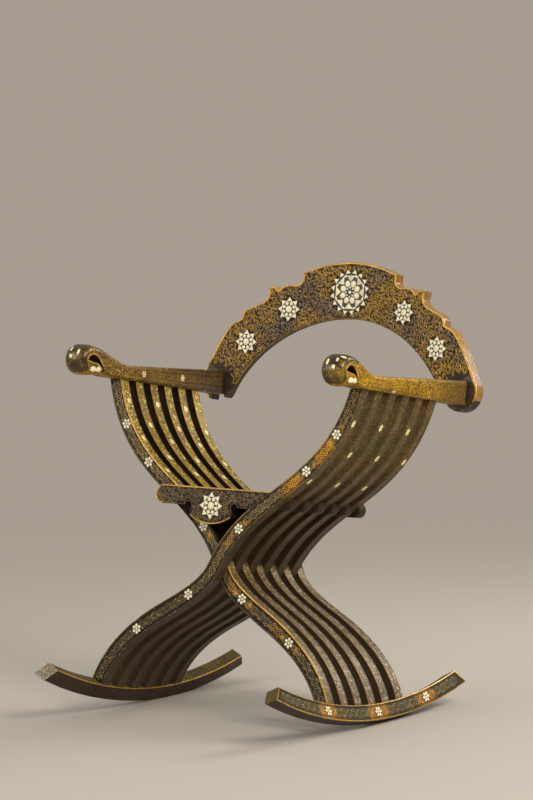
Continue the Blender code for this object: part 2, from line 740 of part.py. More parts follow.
def notch_cutter():
    """The open slot in the board's left end, snug round the pin above and flared below."""
    pin_x, pin_z = crest_pin_place()
    room = PIN_RADIUS + SEAT_GAP
    seat = arc_points((-pin_x, pin_z), room, math.pi, 0.0, ROD_STEPS)
    mouth = pin_z - LOBE_RADIUS
    depth = pin_z - mouth
    beyond = (depth + OVERRUN) / depth
    inner = -pin_x + room + (NOTCH_INNER_FLARE - room) * beyond
    outer = -pin_x - room - (NOTCH_OUTER_FLARE - room) * beyond
    outline = seat + [(inner, mouth - OVERRUN), (outer, mouth - OVERRUN)]
    return extruded(outline, ARM_REAR - OVERRUN, ARM_REAR + CREST_THICKNESS + OVERRUN, facing_front)


def add_crest(chair):
    pin = crest_pin_place()
    crest = chair.piece("crest_board", crest_shape(), "crest", WALNUT)
    hole = round_bar(pin, PIN_RADIUS + SEAT_GAP, ARM_REAR - OVERRUN, ARM_REAR + CREST_THICKNESS + OVERRUN)
    chair.cut(crest, "crest", [hole, notch_cutter()])


def pin_shape(centre):
    """A pin let into an arm's rear end, with a domed head behind the board."""
    back = ARM_REAR + CREST_THICKNESS + 2 * SEAT_GAP
    profile = ((ARM_REAR - PIN_DEPTH, PIN_RADIUS - ROD_END_CHAMFER),
               (ARM_REAR - PIN_DEPTH + ROD_END_CHAMFER, PIN_RADIUS),
               (back, PIN_RADIUS), (back, PIN_HEAD_RADIUS - ROD_END_CHAMFER),
               (back + ROD_END_CHAMFER, PIN_HEAD_RADIUS),
               (back + PIN_HEAD_LENGTH / 2, PIN_HEAD_RADIUS),
               (back + PIN_HEAD_LENGTH, (PIN_HEAD_RADIUS + PIN_RADIUS) / 3))
    return turned(centre, profile, ROUND_STEPS)


def add_pins(chair):
    pin_x, pin_z = crest_pin_place()
    chair.piece("crest_pivot_pin", pin_shape((pin_x, pin_z)), "right_frame", PIN_WOOD, 0.5)
    chair.piece("crest_hook_pin", pin_shape((-pin_x, pin_z)), "left_frame", PIN_WOOD, 0.5)


def stand_on_floor(chair):
    """Leans the chair back and puts the middle of its footprint at the origin, soles on the floor."""
    chair.root.rotation_euler.x = -LEAN
    bpy.context.view_layer.update()
    graph = bpy.context.evaluated_depsgraph_get()
    corners = []
    for thing in bpy.data.objects:
        if thing.type == "MESH" and not thing.hide_render:
            shape = thing.evaluated_get(graph)
            corners += [shape.matrix_world @ vertex.co for vertex in shape.data.vertices]
    lowest = [min(corner[axis] for corner in corners) for axis in range(3)]
    highest = [max(corner[axis] for corner in corners) for axis in range(3)]
    chair.root.location = (-(lowest[0] + highest[0]) / 2, -(lowest[1] + highest[1]) / 2, -lowest[2])
    bpy.context.view_layer.update()


def main():
    clear_scene()
    chair = Chair()
    add_rods(chair)
    add_staves(chair)
    add_arms(chair)
    add_rockers(chair)
    add_seat(chair)
    add_crest(chair)
    add_pins(chair)
    stand_on_floor(chair)


main()
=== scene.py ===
"""Looks for a folding armchair on rockers: carved staves, scrolled arms, a slatted seat and a carved back board.

Everything is in metres. The pieces are drawn in the chair's own upright frame, with the main pivot's axis on Y
and the front face of the first stave at Y = 0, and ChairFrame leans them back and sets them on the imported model.
"""

import bisect
import logging
import math
from collections.abc import Callable, Sequence
from dataclasses import dataclass, field
from enum import Enum

import bmesh
import bpy
from bpy.types import Material, Mesh, Node, NodeSocket, NodeTree, Object
from mathutils import Matrix, Vector
from mathutils.bvhtree import BVHTree


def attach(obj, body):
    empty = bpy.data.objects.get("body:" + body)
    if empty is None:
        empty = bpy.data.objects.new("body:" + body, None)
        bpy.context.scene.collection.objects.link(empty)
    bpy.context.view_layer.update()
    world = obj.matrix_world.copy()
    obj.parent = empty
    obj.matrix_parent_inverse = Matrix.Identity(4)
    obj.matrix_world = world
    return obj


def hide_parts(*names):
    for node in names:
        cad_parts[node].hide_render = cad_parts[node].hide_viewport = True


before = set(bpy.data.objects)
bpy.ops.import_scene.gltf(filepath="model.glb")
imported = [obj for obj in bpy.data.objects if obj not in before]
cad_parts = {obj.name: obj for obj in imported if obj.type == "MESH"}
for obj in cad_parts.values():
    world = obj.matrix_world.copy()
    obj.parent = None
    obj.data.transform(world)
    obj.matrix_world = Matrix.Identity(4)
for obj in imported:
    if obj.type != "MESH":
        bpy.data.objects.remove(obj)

LOG = logging.getLogger("rocking_chair")
# Edges sharper than the first angle stay hard, and those past the second one are rounded where a piece is eased.
SHARP_ANGLE = math.radians(38)
EASED_ANGLE = math.radians(35)
# Where the middle point of a rounded arris lies, as a share of its width from both faces.
ARRIS_MIDDLE = 0.3

Place = Callable[[float, float, float], Vector]
Pair = tuple[float, float]
Triple = tuple[float, float, float]


class Side(Enum):
    """The two sets of crossed pieces, named by the arm that they carry."""

    RIGHT = 1
    LEFT = -1

    @property
    def word(self) -> str:
        """The side's name in node and body names."""
        return self.name.lower()

    @property
    def other(self) -> "Side":
        """The opposite side."""
        return Side(-self.value)


class Mat(Enum):
    """The finishes, each made once and shared by the pieces that show it."""

    HOLLOW = "hollow"
    RELIEF = "relief"
    BORDER = "border"
    APRON_RELIEF = "apron_relief"
    BLOSSOM = "blossom"
    ROCKER_GROUND = "rocker_ground"
    ROCKER_RELIEF = "rocker_relief"
    PALE_TIP = "pale_tip"
    DIM_FACE = "dim_face"
    SHADE = "shade"
    INNER_EDGE = "inner_edge"
    OUTER_EDGE = "outer_edge"
    BACK = "back"
    OLIVE = "olive"
    GILT = "gilt"
    GILT_LINE = "gilt_line"
    GLOSS = "gloss"
    GOLD_LEAF = "gold_leaf"
    CREST_GROUND = "crest_ground"
    CREST_RELIEF = "crest_relief"
    LOBE = "lobe"
    ARM = "arm"
    ARM_INNER = "arm_inner"
    ARM_TOP = "arm_top"
    BALL = "ball"
    BONE = "bone"
    INLAY_BED = "inlay_bed"
    SEAT = "seat"
    PIN = "pin"


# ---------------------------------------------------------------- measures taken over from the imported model


@dataclass(frozen=True)
class ChairFrame:
    """The chair's own upright frame, leant back about the main pivot."""

    lean: float = math.radians(9.2)
    pivot_y: float = -0.16284
    pivot_z: float = 0.323

    def world(self, point: Vector) -> Vector:
        """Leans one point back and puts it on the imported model.

        Args:
            point: a place in the upright frame.

        Returns:
            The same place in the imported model's frame.
        """
        cosine, sine = math.cos(self.lean), math.sin(self.lean)
        return Vector((point.x, point.y * cosine + point.z * sine + self.pivot_y,
                       point.z * cosine - point.y * sine + self.pivot_z))


@dataclass(frozen=True)
class Sizes:
    """Lengths that several assemblies share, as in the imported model's source."""

    staves_a_side: int = 6
    stave_thickness: float = 0.0245
    clearance: float = 0.0005
    seat_gap: float = 0.0003
    arm_reach: float = 0.3125
    foot_reach: float = 0.2745
    upper_height: float = 0.373
    lower_height: float = 0.2635
    arm_rear: float = 0.384
    cant: float = math.radians(26)

    @property
    def layer(self) -> float:
        """The pitch of the stack of staves."""
        return self.stave_thickness + self.clearance

    def front(self, side: Side, number: int) -> float:
        """The Y of a stave's front face, counted from the front of its set."""
        return (2 * number + (0 if side is Side.RIGHT else 1)) * self.layer


FRAME = ChairFrame()
SIZES = Sizes()


def mix(low: float, high: float, share: float) -> float:
    """The value at a share of the way from low to high."""
    return low + (high - low) * share


def bezier(start: Pair, handle_a: Pair, handle_b: Pair, end: Pair, t: float) -> Pair:
    """A point on a cubic curve in the plane.

    Args:
        start: where the curve starts.
        handle_a: what it leaves towards.
        handle_b: what it arrives from.
        end: where it ends.
        t: how far along the point is, from 0 to 1.

    Returns:
        The point.
    """
    rest = 1 - t
    x, z = (rest ** 3 * a + 3 * rest * rest * t * b + 3 * rest * t * t * c + t ** 3 * d
            for a, b, c, d in zip(start, handle_a, handle_b, end))
    return x, z


def arc(centre: Pair, radius: float, first: float, last: float, steps: int) -> list[Pair]:
    """Points of an arc from one angle to another, both ends included."""
    angles = [mix(first, last, step / steps) for step in range(steps + 1)]
    return [(centre[0] + radius * math.cos(a), centre[1] + radius * math.sin(a)) for a in angles]


def height_on(line: Sequence[Pair], y: float) -> float:
    """The height of a broken line at a Y inside it.

    Args:
        line: its corners, each as a first and a second value, such as Y and height.
        y: the first value.

    Returns:
        The second value there.
    """
    index = min(max(bisect.bisect_right([point[0] for point in line], y), 1), len(line) - 1)
    low, high = line[index - 1], line[index]
    return mix(low[1], high[1], (y - low[0]) / (high[0] - low[0]))


def smooth_line(points: Sequence[Pair], corners: set[int], steps: int) -> list[Pair]:
    """Rounds a broken line between its corners, through all of its points.

    Args:
        points: the line's points.
        corners: the indices at which it keeps a sharp corner.
        steps: how many steps each span is divided into.

    Returns:
        The finer line.
    """
    fine: list[Pair] = []
    last = len(points) - 1
    for index in range(last):
        b, c = Vector(points[index]), Vector(points[index + 1])
        a = b if index == 0 or index in corners else Vector(points[index - 1])
        d = c if index + 1 == last or index + 1 in corners else Vector(points[index + 2])
        for step in range(steps):
            t = step / steps
            place = 0.5 * (2 * b + (c - a) * t + (2 * a - 5 * b + 4 * c - d) * t * t
                           + (3 * b - a - 3 * c + d) * t ** 3)
            fine.append((place.x, place.y))
    fine.append(tuple(points[last]))
    return fine


def drawn_in(line: Sequence[Pair], distance: float, closed: bool) -> list[Pair]:
    """A line moved sideways, to the left of its direction of travel, with its corners kept.

    Args:
        line: the line's points.
        distance: how far it moves.
        closed: whether the last point joins the first.

    Returns:
        As many points as the line has.
    """
    count = len(line)
    moved = []
    for index, point in enumerate(line):
        before = line[index - 1] if closed or index else point
        after = line[(index + 1) % count] if closed or index < count - 1 else point
        here = Vector(point)
        sides = [Vector((-d.y, d.x)).normalized() for d in (here - Vector(before), Vector(after) - here)
                 if d.length > 1e-7]
        normal = sum(sides, Vector((0.0, 0.0)))
        normal = normal.normalized() if normal.length > 1e-6 else sides[0]
        stretch = min(1 / max(normal.dot(sides[0]), 0.55), 1.5)
        place = here + normal * distance * stretch
        moved.append((place.x, place.y))
    return moved


# ---------------------------------------------------------------- building meshes


class Shell:
    """The vertices, faces and finishes of one piece while it is being made, in the upright frame."""

    def __init__(self) -> None:
        """Starts empty."""
        self.points: list[Vector] = []
        self.lays: list[Pair] = []
        self.faces: list[tuple[int, ...]] = []
        self.finishes: list[Mat] = []

    def point(self, place: Vector, lay: Pair = (0.0, 0.0)) -> int:
        """Adds a vertex with its place along and across the piece, and returns its index.

        Args:
            place: where the vertex is.
            lay: its place along and across the piece.

        Returns:
            The vertex's index.
        """
        self.points.append(Vector(place))
        self.lays.append(lay)
        return len(self.points) - 1

    def face(self, corners: Sequence[int], finish: Mat) -> None:
        """Adds a face of one finish."""
        self.faces.append(tuple(corners))
        self.finishes.append(finish)

    def strip(self, row: Sequence[int], after: Sequence[int], finishes: Sequence[Mat]) -> None:
        """Joins two closed rows of points by a strip of faces.

        Args:
            row: the points' indices on one side.
            after: those on the other side.
            finishes: the finish of each face between them.
        """
        for index, finish in enumerate(finishes):
            beside = (index + 1) % len(row)
            self.face((row[index], row[beside], after[beside], after[index]), finish)

    def loft(self, rings: Sequence[Sequence[Vector]], runs: Sequence[float], finishes: Sequence[Mat],
             caps: Mat) -> None:
        """Adds a closed solid through rings of equally many points.

        Args:
            rings: the rings, in order.
            runs: how far along the piece each ring is.
            finishes: the finish of each strip, from one point of a ring to the next.
            caps: the finish of both ends.
        """
        rows = []
        for ring, run in zip(rings, runs):
            across, row = 0.0, []
            for index, place in enumerate(ring):
                across += (Vector(place) - Vector(ring[index - 1])).length if index else 0.0
                row.append(self.point(place, (run, across)))
            rows.append(row)
        for row, after in zip(rows, rows[1:]):
            self.strip(row, after, finishes)
        self.face(rows[0], caps)
        self.face(rows[-1], caps)

    def wrap(self, mesh: Mesh, place: Place, finish: Mat) -> None:
        """Adds a flat relief, laid over a surface.

        Args:
            mesh: the relief, in metres along, across and above the surface.
            place: where a point of the relief comes to lie.
            finish: the finish of all its faces.
        """
        start = len(self.points)
        for vertex in mesh.vertices:
            self.point(place(*vertex.co), (vertex.co.x, vertex.co.y))
        for polygon in mesh.polygons:
            self.face([start + index for index in polygon.vertices], finish)

    def take(self, mesh: Mesh, finishes: Sequence[Mat]) -> None:
        """Adds a mesh that is already in the upright frame, with its finishes by material index.

        Args:
            mesh: the mesh.
            finishes: the finish that each material index stands for.
        """
        start = len(self.points)
        lay = mesh.attributes.get("lay")
        for index, vertex in enumerate(mesh.vertices):
            self.point(vertex.co, tuple(lay.data[index].vector[:2]) if lay else (0.0, 0.0))
        for polygon in mesh.polygons:
            self.face([start + index for index in polygon.vertices], finishes[polygon.material_index])

    def mirrored(self) -> "Shell":
        """The left-hand copy of a piece drawn for the right.

        Returns:
            The other piece.
        """
        copy = Shell()
        copy.points = [Vector((-p.x, p.y, p.z)) for p in self.points]
        copy.lays, copy.faces, copy.finishes = list(self.lays), list(self.faces), list(self.finishes)
        return copy

    def mesh(self, name: str, order: Sequence[Mat], in_world: bool) -> Mesh:
        """Makes the mesh, with its faces turned outwards and hard edges kept.

        Args:
            name: the mesh's name.
            order: the finishes in the order of the material slots.
            in_world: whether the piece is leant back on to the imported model.

        Returns:
            The finished mesh.
        """
        mesh = bpy.data.meshes.new(name)
        places = [FRAME.world(p) if in_world else p for p in self.points]
        mesh.from_pydata([tuple(p) for p in places], [], self.faces)
        lay = mesh.attributes.new("lay", "FLOAT_VECTOR", "POINT")
        lay.data.foreach_set("vector", [v for u, w in self.lays for v in (u, w, 0.0)])
        mesh.polygons.foreach_set("material_index", [order.index(f) for f in self.finishes])
        builder = bmesh.new()
        builder.from_mesh(mesh)
        bmesh.ops.recalc_face_normals(builder, faces=builder.faces)
        builder.to_mesh(mesh)
        builder.free()
        for polygon in mesh.polygons:
            polygon.use_smooth = True
        mesh.set_sharp_from_angle(angle=SHARP_ANGLE)
        return mesh


def object_of(name: str, mesh: Mesh) -> Object:
    """Links a mesh to the scene as an object at the origin.

    Args:
        name: the object's name.
        mesh: what it shows.

    Returns:
        The object.
    """
    thing = bpy.data.objects.new(name, mesh)
    bpy.context.scene.collection.objects.link(thing)
    return thing


def settled(thing: Object) -> Mesh:
    """The plain mesh that an object's modifiers give, with the object itself taken away.

    Args:
        thing: the object, which is used up.

    Returns:
        The mesh.
    """
    bpy.context.view_layer.update()
    graph = bpy.context.evaluated_depsgraph_get()
    mesh = bpy.data.meshes.new_from_object(thing.evaluated_get(graph), depsgraph=graph)
    bpy.data.objects.remove(thing, do_unlink=True)
    return mesh


def baked(name: str, builder: bmesh.types.BMesh) -> Mesh:
    """The mesh that a builder holds. The builder is used up.

    Args:
        name: the mesh's name.
        builder: what holds the faces.

    Returns:
        The mesh.
    """
    mesh = bpy.data.meshes.new(name)
    builder.to_mesh(mesh)
    builder.free()
    return mesh


def worked(shell: Shell, tools: Sequence[Shell], fit: Callable[[Object, list[Object]], None]) -> Shell:
    """Sends a shell through modifiers, with the finish of each face kept.

    Args:
        shell: the piece.
        tools: other shapes that the modifiers use.
        fit: gives the piece its modifiers, from the piece and the tools as objects.

    Returns:
        The changed piece.
    """
    blank = bpy.data.materials.new("blank")
    things = []
    for part in (shell, *tools):
        mesh = part.mesh("worked", list(Mat), in_world=False)
        for _ in Mat:
            mesh.materials.append(blank)
        things.append(object_of("worked", mesh))
    fit(things[0], things[1:])
    mesh = settled(things[0])
    result = Shell()
    result.take(mesh, list(Mat))
    for tool in things[1:]:
        bpy.data.objects.remove(tool, do_unlink=True)
    bpy.data.meshes.remove(mesh)
    bpy.data.materials.remove(blank)
    return result


def cut(shell: Shell, cutters: Sequence[Shell], inside: Mat) -> Shell:
    """Takes closed shapes out of a shell.

    Args:
        shell: the piece.
        cutters: the shapes to take out.
        inside: the finish of the cut faces.

    Returns:
        The piece with the shapes taken out.
    """
    for cutter in cutters:
        cutter.finishes = [inside] * len(cutter.faces)

    def fit(thing: Object, tools: list[Object]) -> None:
        """Cuts with each tool in turn.

        Args:
            thing: the piece as an object.
            tools: the shapes to take out.
        """
        for tool in tools:
            modifier = thing.modifiers.new("Cut", "BOOLEAN")
            modifier.operation, modifier.solver, modifier.object = "DIFFERENCE", "EXACT", tool

    return worked(shell, cutters, fit)


def eased(shell: Shell, width: float) -> Shell:
    """Rounds the sharp edges of a piece of flat faces to a width.

    Args:
        shell: the piece.
        width: how wide the rounding is.

    Returns:
        The rounded piece.
    """

    def fit(thing: Object, _: list[Object]) -> None:
        """Bevels every edge between faces that turn away from each other.

        Args:
            thing: the piece as an object.
        """
        modifier = thing.modifiers.new("Ease", "BEVEL")
        modifier.width, modifier.segments, modifier.limit_method = width, 2, "ANGLE"
        modifier.angle_limit = EASED_ANGLE

    return worked(shell, (), fit)


def prism(outline: Sequence[Pair], low: float, high: float, place: Place, finish: Mat) -> Shell:
    """A closed prism: each outline point (u, v) goes through place(u, v, depth) at both depths.

    Args:
        outline: its outline.
        low: the depth of the near face.
        high: the depth of the far face.
        place: where a point of the drawing lies in space.
        finish: the finish of every face.

    Returns:
        The prism.
    """
    shell = Shell()
    near, far = ([shell.point(place(u, v, depth), (u, v)) for u, v in outline] for depth in (low, high))
    shell.face(near, finish)
    shell.face(far, finish)
    shell.strip(near, far, [finish] * len(near))
    return shell


def shifted(place: Place, along: float, up: float = 0.0, lift: float = 0.0) -> Place:
    """The same surface, with another of its places at (0, 0) and everything raised by a lift."""
    return lambda u, v, h: place(along + u, up + v, lift + h)


def facing_front(u: float, v: float, depth: float) -> Vector:
    """Places an outline drawn in X and Z, seen from the front."""
    return Vector((u, depth, v))


# ---------------------------------------------------------------- Geometry Nodes: strokes, fields and inlay rings


class Wiring:
    """A node tree while it is being wired."""

    def __init__(self, tree: NodeTree) -> None:
        """Takes the tree to draw in."""
        self.tree = tree

    def sockets(self, way: str, wanted: dict[str, tuple[str, object]]) -> None:
        """Gives the tree named sockets.

        Args:
            way: INPUT or OUTPUT.
            wanted: socket name to its type and default value.
        """
        for label, (kind, value) in wanted.items():
            socket = self.tree.interface.new_socket(label, in_out=way, socket_type="NodeSocket" + kind)
            if value is not None:
                socket.default_value = value

    def feed(self, socket: NodeSocket, value: object) -> None:
        """Links a socket to another, or sets its plain value. A colour may come without its alpha.

        Args:
            socket: the input.
            value: a socket or a plain value.
        """
        if isinstance(value, NodeSocket):
            self.tree.links.new(value, socket)
        elif socket.type == "RGBA" and len(value) == 3:
            socket.default_value = (*value, 1.0)
        else:
            socket.default_value = value

    def node(self, kind: str, settings: dict[str, object] | None = None, by_index: Sequence[object] = (),
             **named: object) -> Node:
        """Adds a node, sets its properties and feeds its inputs.

        Args:
            kind: the node's type.
            settings: properties of the node.
            by_index: what its first inputs get, each a socket or a plain value.
            **named: input name, with underscores for spaces, to a socket or a plain value.

        Returns:
            The node.
        """
        made = self.tree.nodes.new(kind)
        for key, value in (settings or {}).items():
            setattr(made, key, value)
        for index, value in enumerate(by_index):
            self.feed(made.inputs[index], value)
        for key, value in named.items():
            self.feed(next(s for s in made.inputs if s.name == key.replace("_", " ") and s.enabled), value)
        return made

    def maths(self, operation: str, first: object, second: object = 0.0) -> NodeSocket:
        """A Math node's result, from sockets or plain numbers."""
        return self.node("ShaderNodeMath", {"operation": operation}, (first, second)).outputs[0]

    def vector(self, x: object = 0.0, y: object = 0.0, z: object = 0.0) -> NodeSocket:
        """A vector from three parts, each a socket or a plain number."""
        return self.node("ShaderNodeCombineXYZ", None, (x, y, z)).outputs[0]


class Tree(Wiring):
    """A Geometry Nodes tree while it is being wired."""

    def __init__(self, name: str, inputs: dict[str, tuple[str, object]]) -> None:
        """Makes the tree with geometry and material sockets and the named inputs.

        Args:
            name: the tree's name.
            inputs: socket name to its type and default value.
        """
        super().__init__(bpy.data.node_groups.new(name, "GeometryNodeTree"))
        self.sockets("INPUT", {"Geometry": ("Geometry", None), **inputs, "Material": ("Material", None)})
        self.sockets("OUTPUT", {"Geometry": ("Geometry", None)})
        self.start = self.tree.nodes.new("NodeGroupInput").outputs

    def finish(self, geometry: NodeSocket) -> NodeTree:
        """Ends the tree in Realize Instances and Set Material.

        Args:
            geometry: what the tree gives.

        Returns:
            The finished tree.
        """
        real = self.node("GeometryNodeRealizeInstances", Geometry=geometry)
        dressed = self.node("GeometryNodeSetMaterial", Geometry=real.outputs[0], Material=self.start["Material"])
        self.node("NodeGroupOutput", Geometry=dressed.outputs[0])
        return self.tree

    def ridge(self, curve: NodeSocket, thick: NodeSocket) -> NodeSocket:
        """Ridges along curves that lie in the flat: tubes of few sides, pressed down to a share of their height.

        Args:
            curve: the curves.
            thick: half the thickness at each point.

        Returns:
            The ridges.
        """
        upright = self.node("GeometryNodeSetCurveNormal", {"mode": "Z_UP"}, Curve=curve)
        profile = self.node("GeometryNodeCurvePrimitiveCircle", Resolution=self.start["Sides"], Radius=1.0)
        tube = self.node("GeometryNodeCurveToMesh", Curve=upright.outputs[0], Profile_Curve=profile.outputs[0],
                         Scale=thick, Fill_Caps=True)
        pressed = self.vector(1.0, 1.0, self.start["Flatness"])
        return self.node("GeometryNodeTransform", Geometry=tube.outputs[0], Scale=pressed).outputs[0]


RIDGE_INPUTS: dict[str, tuple[str, object]] = {"Sides": ("Int", 5), "Flatness": ("Float", 0.8)}


def stroke_tree() -> NodeTree:
    """Raised strokes along the edges of a flat drawing, as thick as its points say.

    Returns:
        The tree.
    """
    tree = Tree("carved_strokes", RIDGE_INPUTS)
    curve = tree.node("GeometryNodeMeshToCurve", Mesh=tree.start["Geometry"])
    thick = tree.node("GeometryNodeInputNamedAttribute", {"data_type": "FLOAT"}, Name="thick")
    return tree.finish(tree.ridge(curve.outputs[0], thick.outputs[0]))


def field_tree() -> NodeTree:
    """A field of curls and small leaves, strewn over a flat region and turned by chance.

    Returns:
        The tree.
    """
    tree = Tree("curl_field", {
        "Spacing": ("Float", 0.009), "Curl Radius": ("Float", 0.0045), "Stroke": ("Float", 0.0011),
        "Leaf Length": ("Float", 0.005), **RIDGE_INPUTS, "Seed": ("Int", 0)})
    start = tree.start
    along = tree.node("GeometryNodeSplineParameter").outputs["Factor"]
    curl_shape = tree.node("GeometryNodeCurveSpiral", Resolution=11, Rotations=0.95,
                           Start_Radius=start["Curl Radius"],
                           End_Radius=tree.maths("MULTIPLY", start["Curl Radius"], 0.22), Height=0.0)
    curl_swell = tree.maths("SUBTRACT", 1.25, tree.maths("MULTIPLY", along, 0.45))
    half = tree.maths("MULTIPLY", start["Leaf Length"], 0.5)
    leaf_shape = tree.node("GeometryNodeCurveQuadraticBezier", Resolution=5,
                           Start=tree.vector(tree.maths("MULTIPLY", half, -1.0)), Middle=tree.vector(0.0, half),
                           End=tree.vector(half))
    belly = tree.maths("SINE", tree.maths("MULTIPLY", along, math.pi))
    leaf_swell = tree.maths("ADD", tree.maths("MULTIPLY", belly, 1.35), 0.25)
    leaf_spacing = tree.maths("MULTIPLY", start["Spacing"], 0.54)
    joined = tree.node("GeometryNodeJoinGeometry")
    for motif, spacing, seed_step, swell in ((curl_shape, start["Spacing"], 11.0, curl_swell),
                                             (leaf_shape, leaf_spacing, 57.0, leaf_swell)):
        seed = tree.maths("ADD", start["Seed"], seed_step)
        points = tree.node("GeometryNodeDistributePointsOnFaces", {"distribute_method": "POISSON"},
                           Mesh=start["Geometry"], Distance_Min=spacing, Density_Max=60000.0, Seed=seed)
        turn = tree.node("FunctionNodeRandomValue", {"data_type": "FLOAT"}, Min=0.0, Max=2 * math.pi, Seed=seed)
        size = tree.node("FunctionNodeRandomValue", {"data_type": "FLOAT"}, Min=0.8, Max=1.15,
                         Seed=tree.maths("ADD", seed, 5.0))
        stamped = tree.node("GeometryNodeInstanceOnPoints", Points=points.outputs["Points"],
                            Instance=motif.outputs[0], Rotation=tree.vector(0.0, 0.0, turn.outputs["Value"]),
                            Scale=size.outputs["Value"])
        real = tree.node("GeometryNodeRealizeInstances", Geometry=stamped.outputs[0])
        thick = tree.maths("MULTIPLY", start["Stroke"], swell)
        tree.feed(joined.inputs[0], tree.ridge(real.outputs[0], thick))
    return tree.finish(joined.outputs[0])


def inlay_tree() -> NodeTree:
    """A ring of thin inlaid plates round a centre, each with its long side pointing outwards.

    Returns:
        The tree.
    """
    tree = Tree("inlay_ring", {
        "Count": ("Int", 6), "Ring Radius": ("Float", 0.008), "Corners": ("Int", 6), "Length": ("Float", 0.003),
        "Width": ("Float", 0.003), "Rise": ("Float", 0.0005), "Start Angle": ("Float", 0.0),
        "Plate Angle": ("Float", 0.0)})
    start = tree.start
    ring = tree.node("GeometryNodeMeshCircle", Vertices=start["Count"], Radius=start["Ring Radius"])
    plate = tree.node("GeometryNodeMeshCircle", {"fill_type": "NGON"}, Vertices=start["Corners"], Radius=1.0)
    sized = tree.node("GeometryNodeTransform", Geometry=plate.outputs[0],
                      Rotation=tree.vector(0.0, 0.0, start["Plate Angle"]),
                      Scale=tree.vector(start["Length"], start["Width"], 1.0))
    step = tree.maths("DIVIDE", 2 * math.pi, start["Count"])
    turn = tree.maths("MULTIPLY", tree.node("GeometryNodeInputIndex").outputs[0], step)
    stamped = tree.node("GeometryNodeInstanceOnPoints", Points=ring.outputs[0], Instance=sized.outputs[0],
                        Rotation=tree.vector(0.0, 0.0, turn))
    real = tree.node("GeometryNodeRealizeInstances", Geometry=stamped.outputs[0])
    raised = tree.node("GeometryNodeExtrudeMesh", Mesh=real.outputs[0], Offset_Scale=start["Rise"])
    eased_top = tree.node("GeometryNodeScaleElements", Geometry=raised.outputs["Mesh"],
                          Selection=raised.outputs["Top"], Scale=0.86)
    under = tree.node("GeometryNodeFlipFaces", Mesh=real.outputs[0])
    both = tree.node("GeometryNodeJoinGeometry")
    for half in (eased_top, under):
        tree.feed(both.inputs[0], half.outputs[0])
    welded = tree.node("GeometryNodeMergeByDistance", Geometry=both.outputs[0], Distance=1e-6)
    placed = tree.node("GeometryNodeTransform", Geometry=welded.outputs[0],
                       Rotation=tree.vector(0.0, 0.0, start["Start Angle"]))
    return tree.finish(placed.outputs[0])


class Workshop:
    """Keeps the Geometry Nodes trees and runs flat drawings through them."""

    def __init__(self) -> None:
        """Builds the three trees."""
        self.trees = {"strokes": stroke_tree(), "field": field_tree(), "inlay": inlay_tree()}
        self.blank = bpy.data.materials.new("relief_blank")

    def run(self, tree: str, mesh: Mesh, **values: object) -> Mesh:
        """Sends a flat mesh through a tree.

        Args:
            tree: which tree.
            mesh: the flat mesh, which is used up.
            **values: the tree's inputs, with underscores for spaces.

        Returns:
            The relief as a plain mesh.
        """
        thing = object_of("flat", mesh)
        modifier = thing.modifiers.new("Relief", "NODES")
        modifier.node_group = self.trees[tree]
        values["Material"] = self.blank
        for item in self.trees[tree].interface.items_tree:
            key = item.name.replace(" ", "_")
            if item.in_out == "INPUT" and key in values:
                modifier[item.identifier] = values[key]
        result = settled(thing)
        bpy.data.meshes.remove(mesh)
        return result


@dataclass
class Stroke:
    """One raised stroke of a carving: its flat points and how thick it is at each."""

    points: list[Pair]
    thick: list[float]


def drawing(strokes: Sequence[Stroke]) -> Mesh:
    """A flat mesh of edges, one run for each stroke, with the thickness kept at its points.

    Args:
        strokes: the strokes to draw.

    Returns:
        The mesh.
    """
    points: list[tuple[float, float, float]] = []
    edges: list[tuple[int, int]] = []
    thick: list[float] = []
    for stroke in strokes:
        start = len(points)
        points += [(u, v, 0.0) for u, v in stroke.points]
        edges += [(start + index, start + index + 1) for index in range(len(stroke.points) - 1)]
        thick += stroke.thick
    mesh = bpy.data.meshes.new("drawing")
    mesh.from_pydata(points, edges, [])
    mesh.attributes.new("thick", "FLOAT", "POINT").data.foreach_set("value", thick)
    return mesh


def curl(centre: Pair, radius: float, first: float, turns: float, thick: float, steps: int = 15) -> Stroke:
    """A stroke that winds inwards and ends in a round bud.

    Args:
        centre: the middle of the curl.
        radius: how far out it starts.
        first: the angle it starts at.
        turns: how often it goes round, negative for clockwise.
        thick: its half thickness at the start.
        steps: how many steps it is drawn in.

    Returns:
        The stroke.
    """
    points, widths = [], []
    for step in range(steps + 1):
        share = step / steps
        angle = first + turns * 2 * math.pi * share
        reach = radius * (1 - share) ** 0.8 + radius * 0.16 * share
        points.append((centre[0] + reach * math.cos(angle), centre[1] + reach * math.sin(angle)))
        widths.append(thick * (1.0 - 0.25 * share))
    widths[-1] = widths[-2] = thick * 1.5
    return Stroke(points, widths)


def leaf(root: Pair, angle: float, length: float, bend: float, thick: float) -> Stroke:
    """A short pointed stroke, thickest a third of the way along.

    Args:
        root: where the stroke starts.
        angle: which way it points.
        length: how long it is.
        bend: how far it curves to one side.
        thick: half its greatest thickness.

    Returns:
        The stroke.
    """
    points, widths = [], []
    for step in range(6):
        share = step / 5
        reach, turned_by = length * share, angle + bend * share
        points.append((root[0] + reach * math.cos(turned_by), root[1] + reach * math.sin(turned_by)))
        belly = math.sin(math.pi * min(share * 1.15 + 0.12, 1.0))
        widths.append(thick * (0.3 + 1.25 * belly) * (1.02 - share * 0.6))
    return Stroke(points, widths)


def blossom(centre: Pair, reach: float, thick: float, turn: float) -> list[Stroke]:
    """Seven leaves that fan out unevenly from one point, no two blossoms of different turns alike."""
    lengths = [reach * (0.78 + 0.34 * math.sin(2.3 * k + 4 * turn)) for k in range(7)]
    return [leaf(centre, k * 2 * math.pi / 7 + turn, length, 0.5, thick) for k, length in enumerate(lengths)]


